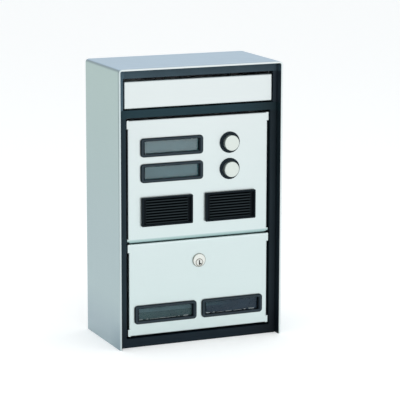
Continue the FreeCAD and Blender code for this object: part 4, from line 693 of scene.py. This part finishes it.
def strip_card(node_name, name, material):
    """A thin card that bows back a little behind its pane."""
    low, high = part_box(node_name)
    middle, half = (low + high) / 2, (high - low) / 2 - STRIP_TRIM
    columns, rows = STRIP_COLUMNS, STRIP_ROWS
    form = bmesh.new()
    near = bowed_grid(form, middle, half, high.y + STRIP_BEHIND)
    far = bowed_grid(form, middle, half, high.y + STRIP_BEHIND + STRIP_THICK)
    for grid, turned in ((near, False), (far, True)):
        for row in range(rows):
            for column in range(columns):
                corners = [grid[row][column], grid[row][column + 1], grid[row + 1][column + 1],
                           grid[row + 1][column]]
                form.faces.new(corners[::-1] if turned else corners)
    rim = [(0, column) for column in range(columns)] + [(row, columns) for row in range(rows)]
    rim += [(rows, column) for column in range(columns, 0, -1)] + [(row, 0) for row in range(rows, 0, -1)]
    for (row, column), (next_row, next_column) in zip(rim, rim[1:] + rim[:1]):
        form.faces.new([far[row][column], far[next_row][next_column], near[next_row][next_column],
                        near[row][column]])
    return ride_piece(form, name, material, "door")


def torn_edges(node_name, name, material, pieces):
    """Slivers of torn white paper along a pane's lower edge: (place from its left, length, height)."""
    low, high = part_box(node_name)
    front, back = high.y + TORN_NEAR * MM, high.y + TORN_FAR * MM
    form = bmesh.new()
    for number, (start, length, tall) in enumerate(pieces):
        count = max(2, int(length / TORN_STEP))
        foot, crest = [], []
        for step in range(count + 1):
            x = low.x + (start + length * step / count) * MM
            ragged = TORN_RAGGED * math.sin(5.3 * step + 1.7 * number)
            taper = TORN_TAPER if step in (0, count) else 1.0
            foot.append((x, low.z + (TORN_FOOT + 0.12 * ragged) * MM))
            crest.append((x, low.z + (TORN_FOOT + tall * taper * (1.0 + ragged)) * MM))
        outline = foot + crest[::-1]
        near = [form.verts.new((x, front, z)) for x, z in outline]
        far = [form.verts.new((x, back, z)) for x, z in outline]
        form.faces.new(near)
        form.faces.new(far[::-1])
        for here in range(len(outline)):
            there = (here + 1) % len(outline)
            form.faces.new([near[here], far[here], far[there], near[there]])
    return ride_piece(form, name, material, "door")


def add_piece(form, name, material):
    """Makes an object of a form, with its finish."""
    bmesh.ops.recalc_face_normals(form, faces=form.faces)
    mesh = bpy.data.meshes.new(name)
    form.to_mesh(mesh)
    form.free()
    mesh.materials.append(material)
    piece = bpy.data.objects.new(name, mesh)
    bpy.context.scene.collection.objects.link(piece)
    return piece


def ride_piece(form, name, material, body):
    """The same for a piece that moves with a body."""
    piece = add_piece(form, name, material)
    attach(piece, body)
    return piece


paper = paper_edge("torn_paper")
green_strip = tinted_strip("green_strip", "name_window_3", (0.128, 0.21, 0.222), (0.072, 0.129, 0.126), 11.4)
blue_strip = tinted_strip("blue_strip", "name_window_4", (0.042, 0.092, 0.110), (0.026, 0.046, 0.070), 12.4,
                          fade=(50.6, 8.6))
strip_card("name_window_3", "name_strip_3", green_strip)
strip_card("name_window_4", "name_strip_4", blue_strip)
torn_edges("name_window_3", "name_strip_edges_3", paper, TORN_LEFT)
torn_edges("name_window_4", "name_strip_edges_4", paper, TORN_RIGHT)


# ---- springs of round wire ----
WIRE_SIDES = 10
WIRE_ACROSS = Vector((0.31, 0.52, 0.79))  # any direction that isn't along the wire's first stretch
RUNS_PER_TURN = 28
FLAP_SPRING_INSET = 14.0 * MM  # from the flap's end to the middle of the coil
FLAP_SPRING_R = 2.75 * MM
FLAP_SPRING_WIRE = 0.45 * MM
FLAP_SPRING_PITCH = 1.2 * MM
FLAP_SPRING_TURNS = 6.25
FLAP_SPRING_LEG = 12.0 * MM
FLAP_SPRING_TAIL = 9.0 * MM
BUTTON_SPRING_R = 4.6 * MM
BUTTON_SPRING_WIRE = 0.5 * MM
BUTTON_SPRING_TURNS = 7


def round_wire(path, radius):
    """A round bar along a path of points, closed at both ends."""
    form = bmesh.new()
    rings = []
    across = WIRE_ACROSS
    for number, point in enumerate(path):
        along = (path[min(number + 1, len(path) - 1)] - path[max(number - 1, 0)]).normalized()
        across = (across - along * across.dot(along)).normalized()
        beside = along.cross(across)
        ring = []
        for step in range(WIRE_SIDES):
            turn = 2 * math.pi * step / WIRE_SIDES
            ring.append(form.verts.new(point + radius * (math.cos(turn) * across + math.sin(turn) * beside)))
        rings.append(ring)
    for first, second in zip(rings, rings[1:]):
        for here in range(WIRE_SIDES):
            there = (here + 1) % WIRE_SIDES
            form.faces.new([first[here], first[there], second[there], second[here]]).smooth = True
    form.faces.new(rings[0][::-1])
    form.faces.new(rings[-1])
    return form


def flap_spring(side, name):
    """A torsion spring on the flap's rod, with a leg and a tail."""
    low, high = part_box("flap_rod")
    axis = (low + high) / 2
    middle_x = side * (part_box("letter_flap")[1].x - FLAP_SPRING_INSET)
    half = FLAP_SPRING_PITCH * FLAP_SPRING_TURNS / 2
    leg_x, tail_x = middle_x + half, middle_x - half
    rise = FLAP_SPRING_PITCH / (2 * math.pi)
    path = []
    for step in range(round(FLAP_SPRING_TURNS * RUNS_PER_TURN) + 1):
        turn = 2 * math.pi * step / RUNS_PER_TURN
        path.append(Vector((leg_x - rise * turn, axis.y - FLAP_SPRING_R * math.cos(turn),
                            axis.z + FLAP_SPRING_R * math.sin(turn))))
    leg = Vector((rise, 0, -FLAP_SPRING_R)).normalized() * FLAP_SPRING_LEG
    tail = Vector((-rise, FLAP_SPRING_R, 0)).normalized() * FLAP_SPRING_TAIL
    path = [path[0] + leg] + path + [path[-1] + tail]
    piece = add_piece(round_wire(path, FLAP_SPRING_WIRE), name, finishes["zinc_steel"])
    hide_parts("flap_springs")
    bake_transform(piece)


def button_spring(number):
    """A return spring round the button's stem, which rides with the casing."""
    node, push = "button_spring_%d" % number, "button_%d_push" % number
    low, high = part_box(node)
    middle = (low + high) / 2
    start, end = low.y + BUTTON_SPRING_WIRE, high.y - BUTTON_SPRING_WIRE
    steps = BUTTON_SPRING_TURNS * RUNS_PER_TURN
    path = []
    for step in range(steps + 1):
        turn = 2 * math.pi * step / RUNS_PER_TURN
        path.append(Vector((middle.x + BUTTON_SPRING_R * math.cos(turn), start + (end - start) * step / steps,
                            middle.z - BUTTON_SPRING_R * math.sin(turn))))
    piece = ride_piece(round_wire(path, BUTTON_SPRING_WIRE), "call_%s" % node, finishes["zinc_steel"],
                       "casing")
    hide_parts(node)
    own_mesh(piece)


flap_spring(-1, "flap_spring_left")
flap_spring(1, "flap_spring_right")
for number in (1, 2):
    button_spring(number)


# ---- floor, light and camera ----
FLOOR_REACH = 9.0
FLOOR_GLOW = 0.19
WORLD_STRENGTH = 0.85
LIGHT_AIM = (0.0, 0.0, 0.2)
LENS = 181.87
CAMERA_AIM = Vector((-0.00317, cad_box[0].y, 0.21685))
CAMERA_BACK = Vector((-0.3860, -0.9016, 0.1954)).normalized()
CAMERA_DISTANCE = 2.978
CAMERA_ROLL = math.radians(0.122)


def floor():
    """A plain pale sweep under the object."""
    mesh = bpy.data.meshes.new("studio_floor")
    form = bmesh.new()
    bmesh.ops.create_grid(form, x_segments=8, y_segments=8, size=FLOOR_REACH)
    form.to_mesh(mesh)
    form.free()
    ground = bpy.data.objects.new("studio_floor", mesh)
    bpy.context.scene.collection.objects.link(ground)
    f = Finish("studio_white")
    f.value("Base Color", f.mix(f.vary(f.noise(60.0, 3.0)), (0.9, 0.91, 0.91), (0.92, 0.925, 0.925)))
    f.value("Roughness", 0.85)
    f.value("Specular IOR Level", 0.1)
    f.value("Emission Color", (1.0, 1.0, 1.0, 1.0))
    f.value("Emission Strength", FLOOR_GLOW)
    mesh.materials.append(f.material)


def softbox(name, place, aim, width, tall, power, colour=(1, 1, 1)):
    """A soft rectangular light."""
    light = bpy.data.lights.new(name, "AREA")
    light.shape = "RECTANGLE"
    light.size, light.size_y = width, tall
    light.energy = power
    light.color = colour
    holder = bpy.data.objects.new(name, light)
    bpy.context.scene.collection.objects.link(holder)
    holder.location = place
    holder.rotation_mode = "QUATERNION"
    holder.rotation_quaternion = (Vector(aim) - Vector(place)).to_track_quat("-Z", "Y")


def world_light():
    """Even, slightly cool light from all round."""
    world = bpy.data.worlds.new("studio_world")
    bpy.context.scene.world = world
    world.use_nodes = True
    background = world.node_tree.nodes["Background"]
    background.inputs["Color"].default_value = (0.97, 0.99, 1.0, 1.0)
    background.inputs["Strength"].default_value = WORLD_STRENGTH


def camera():
    """The camera of the picture: a long lens, 23 degrees to the left and 11 degrees above."""
    data = bpy.data.cameras.new("camera")
    data.sensor_width = 36.0
    data.lens = LENS
    data.clip_start, data.clip_end = 0.1, 60.0
    holder = bpy.data.objects.new("camera", data)
    bpy.context.scene.collection.objects.link(holder)
    holder.location = CAMERA_AIM + CAMERA_DISTANCE * CAMERA_BACK
    holder.rotation_mode = "QUATERNION"
    level = (-CAMERA_BACK).to_track_quat("-Z", "Y")
    roll = Matrix.Rotation(CAMERA_ROLL, 3, "Z").to_quaternion()
    holder.rotation_quaternion = level @ roll
    bpy.context.scene.camera = holder


floor()
world_light()
softbox("top_softbox", (0.0, -0.3, 1.9), LIGHT_AIM, width=1.8, tall=1.6, power=7.0, colour=(0.94, 0.98, 1.0))
softbox("front_softbox", (-0.5, -2.6, 1.6), LIGHT_AIM, width=1.6, tall=1.2, power=10.0)
softbox("right_card", (0.52, -1.28, 0.38), (0.0, -0.06, 0.34), width=0.9, tall=0.7, power=1.05,
        colour=(1.0, 0.93, 0.92))
camera()
bpy.context.scene.view_settings.view_transform = "Standard"
bpy.context.scene.view_settings.look = "None"
